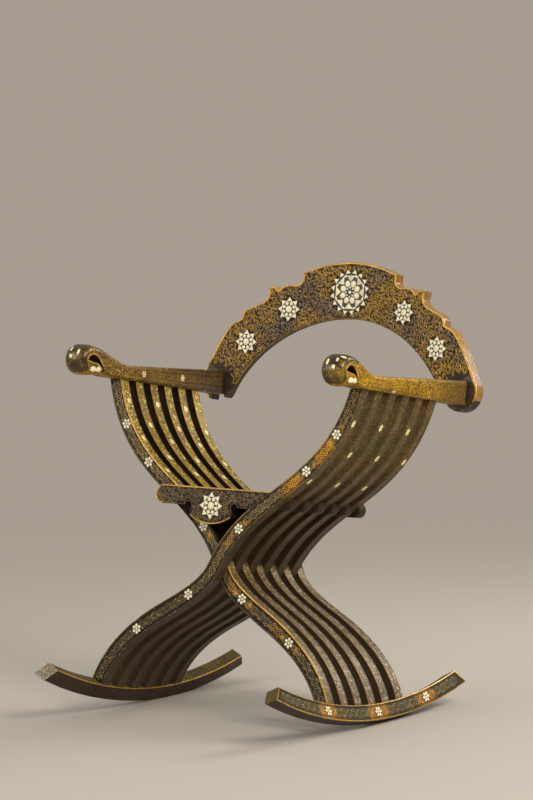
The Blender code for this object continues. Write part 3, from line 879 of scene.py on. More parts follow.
@dataclass(frozen=True)
class VineLeaf:
    """A leaf of a vine: its root from a hollow's middle, in pitches along and reaches up, and its form."""

    along: float
    up: float
    angle: float
    length: float
    bend: float
    swell: float


VINE_LEAVES = (
    VineLeaf(-0.1, 0.62, math.pi / 2 + 0.5, 0.34, 0.5, 1.2), VineLeaf(0.1, 0.62, math.pi / 2 - 0.5, 0.34, -0.5, 1.2),
    VineLeaf(0.5, 0.3, math.pi / 2, 0.55, 0.3, 1.3), VineLeaf(0.5, -0.42, -math.pi / 2, 0.46, 0.3, 1.1))


def vine(length: float, reach: float, wave: float, thick: float) -> list[Stroke]:
    """A waving stem with a curl in every hollow and leaves on its crests.

    Args:
        length: how long the strip is.
        reach: half the height that the carving may take up.
        wave: the length of one full wave.
        thick: half the stem's thickness.

    Returns:
        The strokes, from u = 0 to u = length.
    """
    halves = max(int(round(2 * length / wave)), 1)
    pitch = length / halves
    sway, steps = 0.62 * reach, 7
    stem = [(pitch * k / steps, sway * math.sin(math.pi * k / steps)) for k in range(halves * steps + 1)]
    strokes = [Stroke(stem, [thick] * len(stem))]
    radius = min(0.46 * pitch, 0.72 * reach)
    for k in range(halves):
        sign = 1 if k % 2 == 0 else -1
        u = (k + 0.5) * pitch
        strokes.append(curl((u, -sign * 0.22 * reach), radius, math.pi, sign * 1.45, thick * 0.95))
        strokes += [leaf((u + form.along * pitch, sign * form.up * reach), sign * form.angle, form.length * reach,
                         sign * form.bend, thick * form.swell) for form in VINE_LEAVES]
    return strokes


def plate_mesh(ring: Sequence[Pair], rows: Sequence[Pair]) -> Mesh:
    """A thin closed plate, standing a little below its surface and rising above it.

    Args:
        ring: its outline.
        rows: from the underside to the top, the share of the outline's reach and the height.

    Returns:
        The plate.
    """
    count = len(ring)
    middle = Vector((sum(u for u, _ in ring) / count, sum(v for _, v in ring) / count))
    builder = bmesh.new()
    laid = [[builder.verts.new((*(middle + (Vector(p) - middle) * reach), height)) for p in ring]
            for reach, height in rows]
    for row, after in zip(laid, laid[1:]):
        for k in range(count):
            beside = (k + 1) % count
            builder.faces.new((row[k], row[beside], after[beside], after[k]))
    builder.faces.new(laid[0])
    builder.faces.new(laid[-1])
    return baked("plate", builder)


def disc_mesh(radius: float, corners: int, rise: float) -> Mesh:
    """A round plate with an eased rim."""
    ring = arc((0.0, 0.0), radius, 0.0, 2 * math.pi, corners)[:-1]
    return plate_mesh(ring, ((1.0, -0.0003), (1.0, rise * 0.6), (0.93, rise)))


def region_mesh(outline: Sequence[Pair], inset: float, cell: float, holes: Sequence[tuple[Pair, float]]) -> Mesh:
    """A flat mesh of small squares that fills an outline, apart from its margin and round holes.

    Args:
        outline: the closed outline.
        inset: the margin that stays free.
        cell: the side of a square.
        holes: centre and radius of the round places that stay free.

    Returns:
        The mesh, in the outline's plane.
    """
    low_u, high_u = min(u for u, _ in outline), max(u for u, _ in outline)
    low_v, high_v = min(v for _, v in outline), max(v for _, v in outline)
    builder = bmesh.new()
    corners: dict[tuple[int, int], bmesh.types.BMVert] = {}
    for i in range(int((high_u - low_u) / cell) + 1):
        for j in range(int((high_v - low_v) / cell) + 1):
            u, v = low_u + (i + 0.5) * cell, low_v + (j + 0.5) * cell
            if (not inside(outline, u, v) or clearance(outline, u, v) < inset
                    or any(math.hypot(u - c[0], v - c[1]) < reach for c, reach in holes)):
                continue
            around = []
            for a, b in ((i, j), (i + 1, j), (i + 1, j + 1), (i, j + 1)):
                if (a, b) not in corners:
                    corners[a, b] = builder.verts.new((low_u + a * cell, low_v + b * cell, 0.0))
                around.append(corners[a, b])
            builder.faces.new(around)
    return baked("region", builder)


def inside(outline: Sequence[Pair], u: float, v: float) -> bool:
    """Whether a point lies within a closed outline.

    Args:
        outline: the outline.
        u: how far along the point is.
        v: how far up it is.

    Returns:
        True where it lies within.
    """
    found = False
    for (a, b), (c, d) in zip(outline, list(outline[1:]) + [outline[0]]):
        if (b > v) != (d > v) and u < (c - a) * (v - b) / (d - b) + a:
            found = not found
    return found


def clearance(outline: Sequence[Pair], u: float, v: float) -> float:
    """How far a point is from the nearest part of a closed outline.

    Args:
        outline: the outline.
        u: how far along the point is.
        v: how far up it is.

    Returns:
        The distance.
    """
    here, nearest = Vector((u, v)), math.inf
    for a, b in zip(outline, list(outline[1:]) + [outline[0]]):
        start, way = Vector(a), Vector(b) - Vector(a)
        share = min(max((here - start).dot(way) / max(way.length_squared, 1e-12), 0.0), 1.0)
        nearest = min(nearest, (start + way * share - here).length)
    return nearest


@dataclass(frozen=True)
class Star:
    """A pattern of inlaid plates, with its lengths as shares of the rosette's radius.

    A ring is how far out it lies, plates to a petal, corners of a plate, its length, its width, and how far the
    ring is turned, in plates. A length below zero stands for plates that point inwards.
    """

    petals: int
    bed: float
    middle: float
    middle_corners: int
    rings: tuple[tuple[float, int, int, float, float, float], ...]


FLOWER = Star(6, 0.94, 0.22, 16, ((0.64, 1, 8, 0.34, 0.29, 0.0),))
STAR = Star(8, 0.8, 0.27, 20, ((0.49, 1, 4, 0.2, 0.18, 0.5), (0.75, 1, 3, 0.25, 0.3, 0.0)))
GREAT_STAR = Star(8, 0.86, 0.07, 16, (
    (0.2, 1, 4, 0.06, 0.05, 0.0), (0.385, 1, 10, 0.165, 0.145, 0.5), (0.64, 1, 3, -0.19, 0.275, 0.0),
    (0.745, 1, 4, 0.055, 0.14, 0.5), (0.89, 2, 3, 0.115, 0.15, 0.5)))
# The bed under plates that aren't bone, as a share of the radius, and how far a bed and a plate rise.
PLAIN_BED = 0.6
BED_RISE = 0.0002
PLATE_RISE = 0.0006


@dataclass(frozen=True)
class CurlField:
    """How curls are strewn over a region of small squares, clear of its margin."""

    margin: float
    cell: float
    spacing: float
    curl_radius: float
    stroke: float
    leaf_length: float
    flatness: float
    seed: int


# ---------------------------------------------------------------- finishes


class Sketch(Wiring):
    """A shader tree while it is being wired, for a material, a shared effect or the world."""

    def blend(self, factor: object, first: object, second: object) -> NodeSocket:
        """The mix of two colours, each a socket or an (r, g, b) triple.

        Args:
            factor: the second colour's share.
            first: one colour.
            second: the other colour.

        Returns:
            The mix.
        """
        mixed = self.node("ShaderNodeMix", {"data_type": "RGBA"})
        for index, value in ((0, factor), (6, first), (7, second)):
            self.feed(mixed.inputs[index], value)
        return mixed.outputs[2]

    def stretch(self, value: NodeSocket, low: object, high: object, start: float = 0.0,
                end: float = 1.0) -> NodeSocket:
        """A value between low and high brought smoothly to between start and end."""
        return self.node("ShaderNodeMapRange", {"interpolation_type": "SMOOTHSTEP"}, Value=value, From_Min=low,
                         From_Max=high, To_Min=start, To_Max=end).outputs[0]

    def noise(self, vector: NodeSocket, scale: object, detail: float = 3.0, roughness: float = 0.55) -> NodeSocket:
        """A noise value."""
        return self.node("ShaderNodeTexNoise", Vector=vector, Scale=scale, Detail=detail,
                         Roughness=roughness).outputs[0]


class Effect(Sketch):
    """A shader group that several finishes share, while it is being wired."""

    def __init__(self, name: str, inputs: dict[str, tuple[str, object]], *outputs: str) -> None:
        """Makes the group.

        Args:
            name: the group's name.
            inputs: socket name to its type and default value, besides the vector.
            *outputs: the names of its values.
        """
        super().__init__(bpy.data.node_groups.new(name, "ShaderNodeTree"))
        self.sockets("INPUT", {"Vector": ("Vector", None), **inputs})
        self.sockets("OUTPUT", {label: ("Float", None) for label in outputs})
        self.start = self.tree.nodes.new("NodeGroupInput").outputs

    def finish(self, **values: NodeSocket) -> NodeTree:
        """Feeds the outputs and returns the group."""
        self.node("NodeGroupOutput", **values)
        return self.tree


def patches_group() -> NodeTree:
    """Soft patches, such as where gilding has stayed or worn away, with ragged edges.

    Returns:
        The group.
    """
    effect = Effect("Patches", {"Scale": ("Float", 12.0), "Cover": ("Float", 0.5), "Softness": ("Float", 0.12)},
                    "Mask")
    start = effect.start
    broad = effect.noise(start["Vector"], start["Scale"], 2.0)
    ragged = effect.noise(start["Vector"], effect.maths("MULTIPLY", start["Scale"], 7.0), 3.0)
    both = effect.maths("ADD", effect.maths("MULTIPLY", broad, 0.72), effect.maths("MULTIPLY", ragged, 0.28))
    level = effect.maths("SUBTRACT", 1.0, start["Cover"])
    return effect.finish(Mask=effect.stretch(both, effect.maths("SUBTRACT", level, start["Softness"]),
                                             effect.maths("ADD", level, start["Softness"])))


def tooling_group() -> NodeTree:
    """The fine tooling of the carved wood: small curling cells.

    Returns:
        The group.
    """
    effect = Effect("Fine tooling", {"Scale": ("Float", 260.0)}, "Mask")
    start = effect.start
    wobble = effect.node("ShaderNodeTexNoise", Vector=start["Vector"],
                         Scale=effect.maths("MULTIPLY", start["Scale"], 0.8), Detail=1.0)
    moved = effect.node("ShaderNodeVectorMath", {"operation": "MULTIPLY_ADD"},
                        (wobble.outputs["Color"], (0.006, 0.006, 0.006), start["Vector"]))
    cells = effect.node("ShaderNodeTexVoronoi", {"feature": "DISTANCE_TO_EDGE"}, Vector=moved.outputs[0],
                        Scale=start["Scale"])
    return effect.finish(Mask=effect.stretch(cells.outputs["Distance"], 0.03, 0.22))


def flecks_group() -> NodeTree:
    """Small bright flecks strewn by chance, where gilding catches the light on tooled wood.

    Returns:
        The group.
    """
    effect = Effect("Flecks", {"Scale": ("Float", 240.0), "Share": ("Float", 0.4)}, "Mask")
    cells = effect.node("ShaderNodeTexVoronoi", Vector=effect.start["Vector"], Scale=effect.start["Scale"])
    dot = effect.stretch(cells.outputs["Distance"], 0.3, 0.52, 1.0, 0.0)
    chance = effect.node("ShaderNodeSeparateColor", None, (cells.outputs["Color"],)).outputs[0]
    chosen = effect.maths("LESS_THAN", chance, effect.start["Share"])
    return effect.finish(Mask=effect.maths("MULTIPLY", dot, chosen))


def grain_group() -> NodeTree:
    """Long pores and bands of wood grain along one axis of the vector.

    Returns:
        The group.
    """
    effect = Effect("Grain", {"Stretch": ("Vector", (1.0, 12.0, 12.0)), "Scale": ("Float", 30.0)}, "Band", "Pores")
    drawn = effect.node("ShaderNodeVectorMath", {"operation": "MULTIPLY"},
                        (effect.start["Vector"], effect.start["Stretch"])).outputs[0]
    band = effect.noise(drawn, effect.start["Scale"], 4.0, 0.6)
    pores = effect.noise(drawn, effect.maths("MULTIPLY", effect.start["Scale"], 5.0), 2.0, 0.7)
    return effect.finish(Band=effect.stretch(band, 0.3, 0.7), Pores=effect.stretch(pores, 0.42, 0.62))


Colour = Triple
Spot = tuple[float, float, float, float]


@dataclass(frozen=True)
class Flecks:
    """Small bright flecks: their colour, the share of cells that have one, and how fine the cells are."""

    colour: Colour
    share: float = 0.4
    scale: float = 250.0


@dataclass(frozen=True)
class Fade:
    """Another colour that a finish turns to between two levels along an axis, and that of its flecks there."""

    colour: Colour
    start: float = 0.22
    end: float = 0.38
    share: float = 0.8
    axis: str = "Z"
    fleck: Colour | None = None


@dataclass(frozen=True)
class WoodFinish:
    """One waxed wooden finish, with its patches, grain, fine tooling and wear.

    A spot is a place, as X, Y and Z, round which the patch colour shows out to a reach.
    """

    base: Colour
    patch: Colour
    dark: Colour
    cover: float = 0.42
    patch_scale: float = 14.0
    spots: tuple[Spot, ...] = ()
    spot_edge: float = 0.024
    spot_wander: float = 0.03
    tooling: float = 0.0
    tooling_scale: float = 260.0
    flecks: Flecks | None = None
    grain: float = 0.5
    grain_scale: float = 30.0
    stretch: Triple = (1.0, 10.0, 1.0)
    follows_piece: bool = False
    roughness: float = 0.42
    smear: float = 0.06
    shine: float = 0.5
    metallic: float = 0.0
    bump: float = 0.35
    bump_depth: float = 0.0006
    pore_height: float = 0.35
    coat: float = 0.0
    coat_roughness: float = 0.12
    fade: Fade | None = None

    def patches(self, sketch: Sketch, effects: dict[str, NodeTree], place: NodeSocket) -> NodeSocket:
        """The mask of where the patch colour shows.

        Args:
            sketch: the material's tree.
            effects: the shared effects.
            place: the place on the object.

        Returns:
            The mask.
        """
        mask = sketch.node("ShaderNodeGroup", {"node_tree": effects["patches"]}, Vector=place,
                           Scale=self.patch_scale, Cover=self.cover).outputs[0]
        for x, y, z, reach in self.spots:
            away = sketch.node("ShaderNodeVectorMath", {"operation": "DISTANCE"}, (place, (x, y, z)))
            wander = sketch.maths("MULTIPLY", sketch.noise(place, 60.0), self.spot_wander)
            ragged = sketch.maths("ADD", away.outputs["Value"], wander)
            mask = sketch.maths("MAXIMUM", mask, sketch.stretch(ragged, reach, reach + self.spot_edge, 1.0, 0.0))
        return mask

    def build(self, name: str, effects: dict[str, NodeTree]) -> Material:
        """Makes the material.

        Args:
            name: the material's name.
            effects: the shared effects.

        Returns:
            The material.
        """
        material = bpy.data.materials.new(name)
        material.use_nodes = True
        sketch = Sketch(material.node_tree)
        place = sketch.node("ShaderNodeTexCoord").outputs["Object"]
        colour = sketch.blend(self.patches(sketch, effects, place), self.base, self.patch)
        fleck: object = self.flecks.colour if self.flecks else None
        if self.fade:
            level = sketch.node("ShaderNodeSeparateXYZ", None, (place,)).outputs[self.fade.axis]
            faded = sketch.stretch(level, self.fade.start, self.fade.end, 1.0, 0.0)
            colour = sketch.blend(sketch.maths("MULTIPLY", faded, self.fade.share), colour, self.fade.colour)
            if fleck and self.fade.fleck:
                fleck = sketch.blend(faded, fleck, self.fade.fleck)
        lay = (sketch.node("ShaderNodeAttribute", {"attribute_name": "lay"}).outputs["Vector"]
               if self.follows_piece else place)
        grain = sketch.node("ShaderNodeGroup", {"node_tree": effects["grain"]}, Vector=lay, Stretch=self.stretch,
                            Scale=self.grain_scale)
        shade = sketch.maths("MULTIPLY", sketch.maths("SUBTRACT", 1.0, grain.outputs["Band"]), self.grain)
        colour = sketch.blend(shade, colour, self.dark)
        height = sketch.maths("MULTIPLY", grain.outputs["Pores"], self.pore_height)
        if self.tooling:
            tooled = sketch.node("ShaderNodeGroup", {"node_tree": effects["tooling"]}, Vector=place,
                                 Scale=self.tooling_scale).outputs[0]
            sunk = sketch.maths("MULTIPLY", sketch.maths("SUBTRACT", 1.0, tooled), self.tooling)
            colour = sketch.blend(sunk, colour, self.dark)
            height = sketch.maths("ADD", height, tooled)
        if self.flecks:
            mask = sketch.node("ShaderNodeGroup", {"node_tree": effects["flecks"]}, Vector=place,
                               Scale=self.flecks.scale, Share=self.flecks.share).outputs[0]
            colour = sketch.blend(mask, colour, fleck)
            height = sketch.maths("ADD", height, mask)
        smeared = sketch.stretch(sketch.noise(place, 55.0, 4.0), 0.3, 0.7, self.roughness - self.smear,
                                 self.roughness + self.smear)
        bump = sketch.node("ShaderNodeBump", Strength=self.bump, Distance=self.bump_depth, Height=height)
        shader = material.node_tree.nodes["Principled BSDF"]
        for label, value in (("Base Color", colour), ("Roughness", smeared), ("Normal", bump.outputs[0]),
                             ("Metallic", self.metallic), ("Coat Weight", self.coat),
                             ("Coat Roughness", self.coat_roughness), ("Specular IOR Level", self.shine)):
            sketch.feed(shader.inputs[label], value)
        return material


DARK = (0.016, 0.009, 0.007)
BRIGHT_GILDING: tuple[Spot, ...] = (
    (0.249, -0.124, 0.565, 0.032), (0.174, -0.135, 0.496, 0.03), (0.028, -0.155, 0.37, 0.008),
    (-0.036, -0.129, 0.378, 0.006), (0.032, -0.145, 0.278, 0.016), (0.081, -0.151, 0.242, 0.014),
    (0.15, -0.157, 0.201, 0.026), (0.203, -0.164, 0.161, 0.012))
ROCKER_GILDING: tuple[Spot, ...] = (
    (0.296, -0.186, 0.054, 0.03), (0.296, -0.008, 0.027, 0.038), (0.296, 0.17, 0.032, 0.032))
FINISHES: dict[Mat, WoodFinish] = {
    Mat.HOLLOW: WoodFinish(
        (0.04, 0.027, 0.014), (0.27, 0.115, 0.012), (0.012, 0.008, 0.005), cover=0.3, patch_scale=12.0,
        spots=BRIGHT_GILDING, tooling=0.4, tooling_scale=420.0, roughness=0.6, shine=0.2,
        fade=Fade((0.027, 0.018, 0.011), share=0.75)),
    Mat.RELIEF: WoodFinish(
        (0.26, 0.185, 0.062), (0.74, 0.37, 0.024), (0.04, 0.024, 0.012), cover=0.3, patch_scale=12.0,
        spots=BRIGHT_GILDING, flecks=Flecks((0.5, 0.35, 0.09), 0.28), grain=0.4, roughness=0.34,
        fade=Fade((0.09, 0.058, 0.028), share=0.62)),
    Mat.BORDER: WoodFinish(
        (0.088, 0.06, 0.027), (0.4, 0.19, 0.018), (0.026, 0.016, 0.009), cover=0.3, patch_scale=12.0,
        spots=BRIGHT_GILDING, flecks=Flecks((0.36, 0.23, 0.055), 0.2), follows_piece=True, roughness=0.38,
        shine=0.35, fade=Fade((0.036, 0.024, 0.013), share=0.65)),
    Mat.APRON_RELIEF: WoodFinish(
        (0.165, 0.118, 0.046), (0.48, 0.22, 0.024), (0.036, 0.022, 0.012), cover=0.36, patch_scale=17.0,
        flecks=Flecks((0.3, 0.22, 0.07), 0.2), roughness=0.38, shine=0.35),
    Mat.BLOSSOM: WoodFinish(
        (0.6, 0.24, 0.014), (0.82, 0.5, 0.05), (0.13, 0.05, 0.01), cover=0.45, patch_scale=110.0, grain=0.6,
        roughness=0.34, metallic=0.15),
    Mat.ROCKER_GROUND: WoodFinish(
        (0.06, 0.046, 0.02), (0.33, 0.145, 0.014), (0.02, 0.014, 0.008), cover=0.34, patch_scale=19.0,
        spots=ROCKER_GILDING, tooling=0.5, roughness=0.5, shine=0.2),
    Mat.ROCKER_RELIEF: WoodFinish(
        (0.18, 0.144, 0.05), (0.56, 0.29, 0.026), (0.04, 0.026, 0.014), cover=0.34, patch_scale=19.0,
        spots=ROCKER_GILDING, flecks=Flecks((0.34, 0.27, 0.1), 0.3), grain=0.4, roughness=0.38, shine=0.3),
    Mat.PALE_TIP: WoodFinish(
        (0.52, 0.45, 0.31), (0.36, 0.27, 0.13), (0.07, 0.05, 0.032), cover=0.4, patch_scale=60.0, tooling=0.8,
        tooling_scale=200.0, roughness=0.4, shine=0.3),
    # Hidden faces of the right-hand staves: painted light, lifted brighter than the edges where little light reaches
    # them, and painted shade, darker low down under the seat.
    Mat.DIM_FACE: WoodFinish(
        (0.22, 0.15, 0.046), (0.31, 0.15, 0.026), (0.042, 0.024, 0.012), tooling=0.66, tooling_scale=280.0,
        flecks=Flecks((0.2, 0.14, 0.05), 0.24), roughness=0.45, shine=0.2,
        fade=Fade((0.09, 0.044, 0.02), 0.42, 0.54, 0.9, fleck=(0.1, 0.052, 0.02))),
    # Painted shade: near black on the staves' backs, on the left-hand staves' hidden faces and under the seat, paler
    # brown low down on the legs.
    Mat.SHADE: WoodFinish(
        (0.014, 0.009, 0.007), (0.042, 0.015, 0.008), (0.006, 0.004, 0.004), cover=0.45, follows_piece=True,
        roughness=0.55, shine=0.15, fade=Fade((0.095, 0.062, 0.032), 0.26, 0.4)),
    # Towards the foot these edges turn pale grey-brown with pale flecks: a painted sheen.
    Mat.INNER_EDGE: WoodFinish(
        (0.64, 0.43, 0.024), (0.4, 0.185, 0.02), (0.028, 0.017, 0.009), patch_scale=24.0, tooling=0.88,
        tooling_scale=190.0, flecks=Flecks((0.86, 0.66, 0.13), 0.3, 190.0), follows_piece=True, roughness=0.34,
        metallic=0.2, fade=Fade((0.29, 0.232, 0.15), 0.23, 0.43, 0.85, fleck=(0.44, 0.395, 0.29))),
    Mat.OUTER_EDGE: WoodFinish(
        (0.175, 0.115, 0.026), (0.31, 0.142, 0.018), (0.028, 0.016, 0.008), tooling=0.72, tooling_scale=270.0,
        flecks=Flecks((0.29, 0.19, 0.052), 0.26), follows_piece=True, roughness=0.4, shine=0.3,
        fade=Fade((0.096, 0.066, 0.036), 0.34, 0.52, 0.9, fleck=(0.1, 0.068, 0.036))),
    Mat.BACK: WoodFinish(
        (0.036, 0.022, 0.012), (0.064, 0.036, 0.016), DARK, cover=0.5, grain=0.7, follows_piece=True,
        roughness=0.48, shine=0.25),
    Mat.OLIVE: WoodFinish(
        (0.21, 0.158, 0.036), (0.11, 0.078, 0.024), (0.034, 0.022, 0.011), cover=0.45, tooling=0.6,
        tooling_scale=320.0, flecks=Flecks((0.3, 0.235, 0.056), 0.1), roughness=0.5, shine=0.12),
    Mat.GILT: WoodFinish(
        (0.74, 0.415, 0.034), (0.45, 0.22, 0.022), (0.1, 0.044, 0.012), patch_scale=24.0,
        flecks=Flecks((0.8, 0.56, 0.13), 0.14), grain=0.55, roughness=0.26, metallic=0.3, bump=0.2, coat=0.3),
    Mat.GILT_LINE: WoodFinish(
        (0.64, 0.37, 0.045), (0.34, 0.19, 0.03), (0.09, 0.044, 0.014), cover=0.46, patch_scale=30.0,
        roughness=0.3, metallic=0.3, bump=0.2, fade=Fade((0.34, 0.165, 0.028), 0.32, 0.46)),
    Mat.GLOSS: WoodFinish(
        (0.33, 0.15, 0.02), (0.46, 0.25, 0.036), (0.08, 0.032, 0.01), cover=0.45, grain=0.7, roughness=0.24,
        bump=0.15, coat=0.25),
    Mat.GOLD_LEAF: WoodFinish(
        (0.98, 0.89, 0.45), (0.92, 0.74, 0.24), (0.34, 0.22, 0.05), cover=0.4, patch_scale=60.0, grain=0.2,
        roughness=0.3, bump=0.15, coat=0.25),
    Mat.CREST_GROUND: WoodFinish(
        (0.036, 0.024, 0.018), (0.11, 0.06, 0.014), (0.012, 0.008, 0.006), cover=0.5, patch_scale=9.0,
        tooling=0.5, tooling_scale=420.0, roughness=0.55, shine=0.25),
    Mat.CREST_RELIEF: WoodFinish(
        (0.19, 0.14, 0.1), (0.46, 0.27, 0.034), (0.08, 0.045, 0.022), cover=0.53, patch_scale=9.0,
        flecks=Flecks((0.6, 0.33, 0.07), 0.22), grain=0.45, roughness=0.34, metallic=0.1),
    Mat.LOBE: WoodFinish(
        (0.07, 0.046, 0.034), (0.11, 0.064, 0.03), (0.028, 0.016, 0.012), tooling=0.4,
        flecks=Flecks((0.18, 0.11, 0.05), 0.2), roughness=0.36),
    # The arm finishes turn darker towards the back of the arm, along Y: painted shade.
    Mat.ARM: WoodFinish(
        (0.72, 0.41, 0.01), (0.35, 0.175, 0.01), (0.085, 0.04, 0.006), patch_scale=26.0, tooling=0.8,
        tooling_scale=200.0, flecks=Flecks((0.88, 0.6, 0.05), 0.1), grain=0.4, shine=0.2, metallic=0.2,
        fade=Fade((0.2, 0.116, 0.022), 0.25, 0.06, 0.9, "Y", (0.26, 0.165, 0.024))),
    Mat.ARM_INNER: WoodFinish(
        (0.42, 0.255, 0.034), (0.23, 0.11, 0.022), (0.028, 0.015, 0.008), cover=0.46, patch_scale=22.0,
        tooling=0.84, tooling_scale=190.0, flecks=Flecks((0.7, 0.48, 0.08), 0.1, 240.0), roughness=0.4, shine=0.3,
        fade=Fade((0.075, 0.045, 0.022), 0.24, -0.04, 0.85, "Y")),
    Mat.ARM_TOP: WoodFinish(
        (0.64, 0.39, 0.026), (0.32, 0.18, 0.022), (0.09, 0.044, 0.01), patch_scale=26.0, tooling=0.72,
        tooling_scale=190.0, flecks=Flecks((0.86, 0.62, 0.11), 0.12, 230.0), roughness=0.36, shine=0.25,
        metallic=0.2, coat=0.15, fade=Fade((0.19, 0.115, 0.026), 0.26, 0.04, axis="Y", fleck=(0.32, 0.21, 0.04))),
    Mat.BALL: WoodFinish(
        (0.096, 0.066, 0.02), (0.64, 0.4, 0.044), (0.016, 0.01, 0.006), cover=0.43, patch_scale=24.0, tooling=0.5,
        tooling_scale=150.0, grain=0.6, roughness=0.2, shine=0.35, metallic=0.18, bump=0.22, coat=0.15),
    Mat.SEAT: WoodFinish(
        (0.04, 0.025, 0.015), (0.06, 0.03, 0.014), (0.014, 0.008, 0.006), cover=0.5, grain=0.7, grain_scale=22.0,
        stretch=(10.0, 10.0, 1.0), roughness=0.48, shine=0.25),
    Mat.PIN: WoodFinish(
        (0.03, 0.018, 0.012), (0.048, 0.028, 0.016), (0.01, 0.006, 0.005), cover=0.5, roughness=0.4, shine=0.3),
    # Near black: the bed under bone inlays, and painted shadow on the cut faces inside the arms' eyes.
    Mat.INLAY_BED: WoodFinish(
        (0.034, 0.023, 0.014), (0.058, 0.038, 0.018), (0.01, 0.007, 0.005), cover=0.5, roughness=0.4),
    Mat.BONE: WoodFinish(
        (0.97, 0.885, 0.58), (0.87, 0.74, 0.4), (0.6, 0.44, 0.21), cover=0.32, patch_scale=60.0, grain=0.22,
        roughness=0.3, bump=0.15, coat=0.25),
}


class Palette:
    """Every finish as a material, and the order of the slots on each piece."""

    def __init__(self) -> None:
        """Builds the shared effects and the materials."""
        effects = {"patches": patches_group(), "tooling": tooling_group(), "flecks": flecks_group(),
                   "grain": grain_group()}
        self.made = {key: finish.build(key.value, effects) for key, finish in FINISHES.items()}

    def dress(self, name: str, shell: Shell) -> Object:
        """Makes a piece from its shell, with a slot for each finish that it shows.

        Args:
            name: the piece's name.
            shell: the piece in the upright frame.

        Returns:
            The finished object.
        """
        order = [key for key in Mat if key in set(shell.finishes)]
        thing = object_of(name, shell.mesh(name, order, in_world=True))
        for key in order:
            thing.data.materials.append(self.made[key])
        return thing


class Maker:
    """What every assembly works with: the palette, the relief workshop, and the calls that file a piece."""

    def __init__(self) -> None:
        """Sets up the shop."""
        self.palette = Palette()
        self.workshop = Workshop()

    def file(self, name: str, shell: Shell, body: str, slot: str, nodes: Sequence[str]) -> Object:
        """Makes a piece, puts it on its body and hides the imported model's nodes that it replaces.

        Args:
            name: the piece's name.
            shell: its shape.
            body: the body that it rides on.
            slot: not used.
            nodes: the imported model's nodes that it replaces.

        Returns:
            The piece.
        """
        thing = self.palette.dress(name, shell)
        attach(thing, body)
        if nodes:
            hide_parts(*nodes)
        LOG.info("%s: %d faces on %s", name, len(thing.data.polygons), body)
        return thing

    def strokes(self, strokes: Sequence[Stroke], flatness: float = 0.8, sides: int = 5) -> Mesh:
        """Carves strokes as raised ridges in the flat."""
        return self.workshop.run("strokes", drawing(strokes), Flatness=flatness, Sides=sides)

    def ridge(self, shell: Shell, points: Sequence[Pair], thick: float, place: Place, finish: Mat,
              flatness: float = 0.8, sides: int = 6) -> None:
        """Lays one raised line of even thickness on a surface.

        Args:
            shell: the piece that it stands on.
            points: the line in the flat.
            thick: half its thickness.
            place: the surface.
            finish: its finish.
            flatness: its height as a share of half its thickness.
            sides: how many sides it has.
        """
        shell.wrap(self.strokes([Stroke(list(points), [thick] * len(points))], flatness, sides), place, finish)

    def field(self, sizes: CurlField, outline: Sequence[Pair], holes: Sequence[tuple[Pair, float]]) -> Mesh:
        """Strews a field of curls over an outline in the flat, apart from round holes.

        Args:
            sizes: how the curls are strewn.
            outline: the closed outline.
            holes: centre and radius of each round hole.

        Returns:
            The curls as a mesh in the flat.
        """
        region = region_mesh(outline, sizes.margin, sizes.cell, holes)
        return self.workshop.run(
            "field", region, Spacing=sizes.spacing, Curl_Radius=sizes.curl_radius, Stroke=sizes.stroke,
            Leaf_Length=sizes.leaf_length, Sides=5, Flatness=sizes.flatness, Seed=sizes.seed)

    def rosette(self, shell: Shell, place: Place, radius: float, star: Star = FLOWER, finish: Mat = Mat.BONE) -> None:
        """Lays an inlaid rosette on a surface.

        Args:
            shell: the piece that it is let into.
            place: the surface, with the rosette's middle at (0, 0).
            radius: how far it reaches.
            star: its pattern.
            finish: the finish of the plates. Only bone ones lie in a bed of their own finish.
        """
        is_bone = finish is Mat.BONE
        plates = [disc_mesh(radius * (star.bed if is_bone else PLAIN_BED), 28, BED_RISE),
                  disc_mesh(radius * star.middle, star.middle_corners, PLATE_RISE)]
        for away, crowd, corners, length, width, turn in star.rings:
            count = crowd * star.petals
            plates.append(self.workshop.run(
                "inlay", bpy.data.meshes.new("empty"), Count=count, Ring_Radius=radius * away, Corners=corners,
                Length=radius * abs(length), Width=radius * width, Rise=PLATE_RISE,
                Start_Angle=turn * 2 * math.pi / count, Plate_Angle=math.pi if length < 0 else 0.0))
        for index, plate in enumerate(plates):
            shell.wrap(plate, place, Mat.INLAY_BED if is_bone and index == 0 else finish)
            bpy.data.meshes.remove(plate)


# ---------------------------------------------------------------- rockers


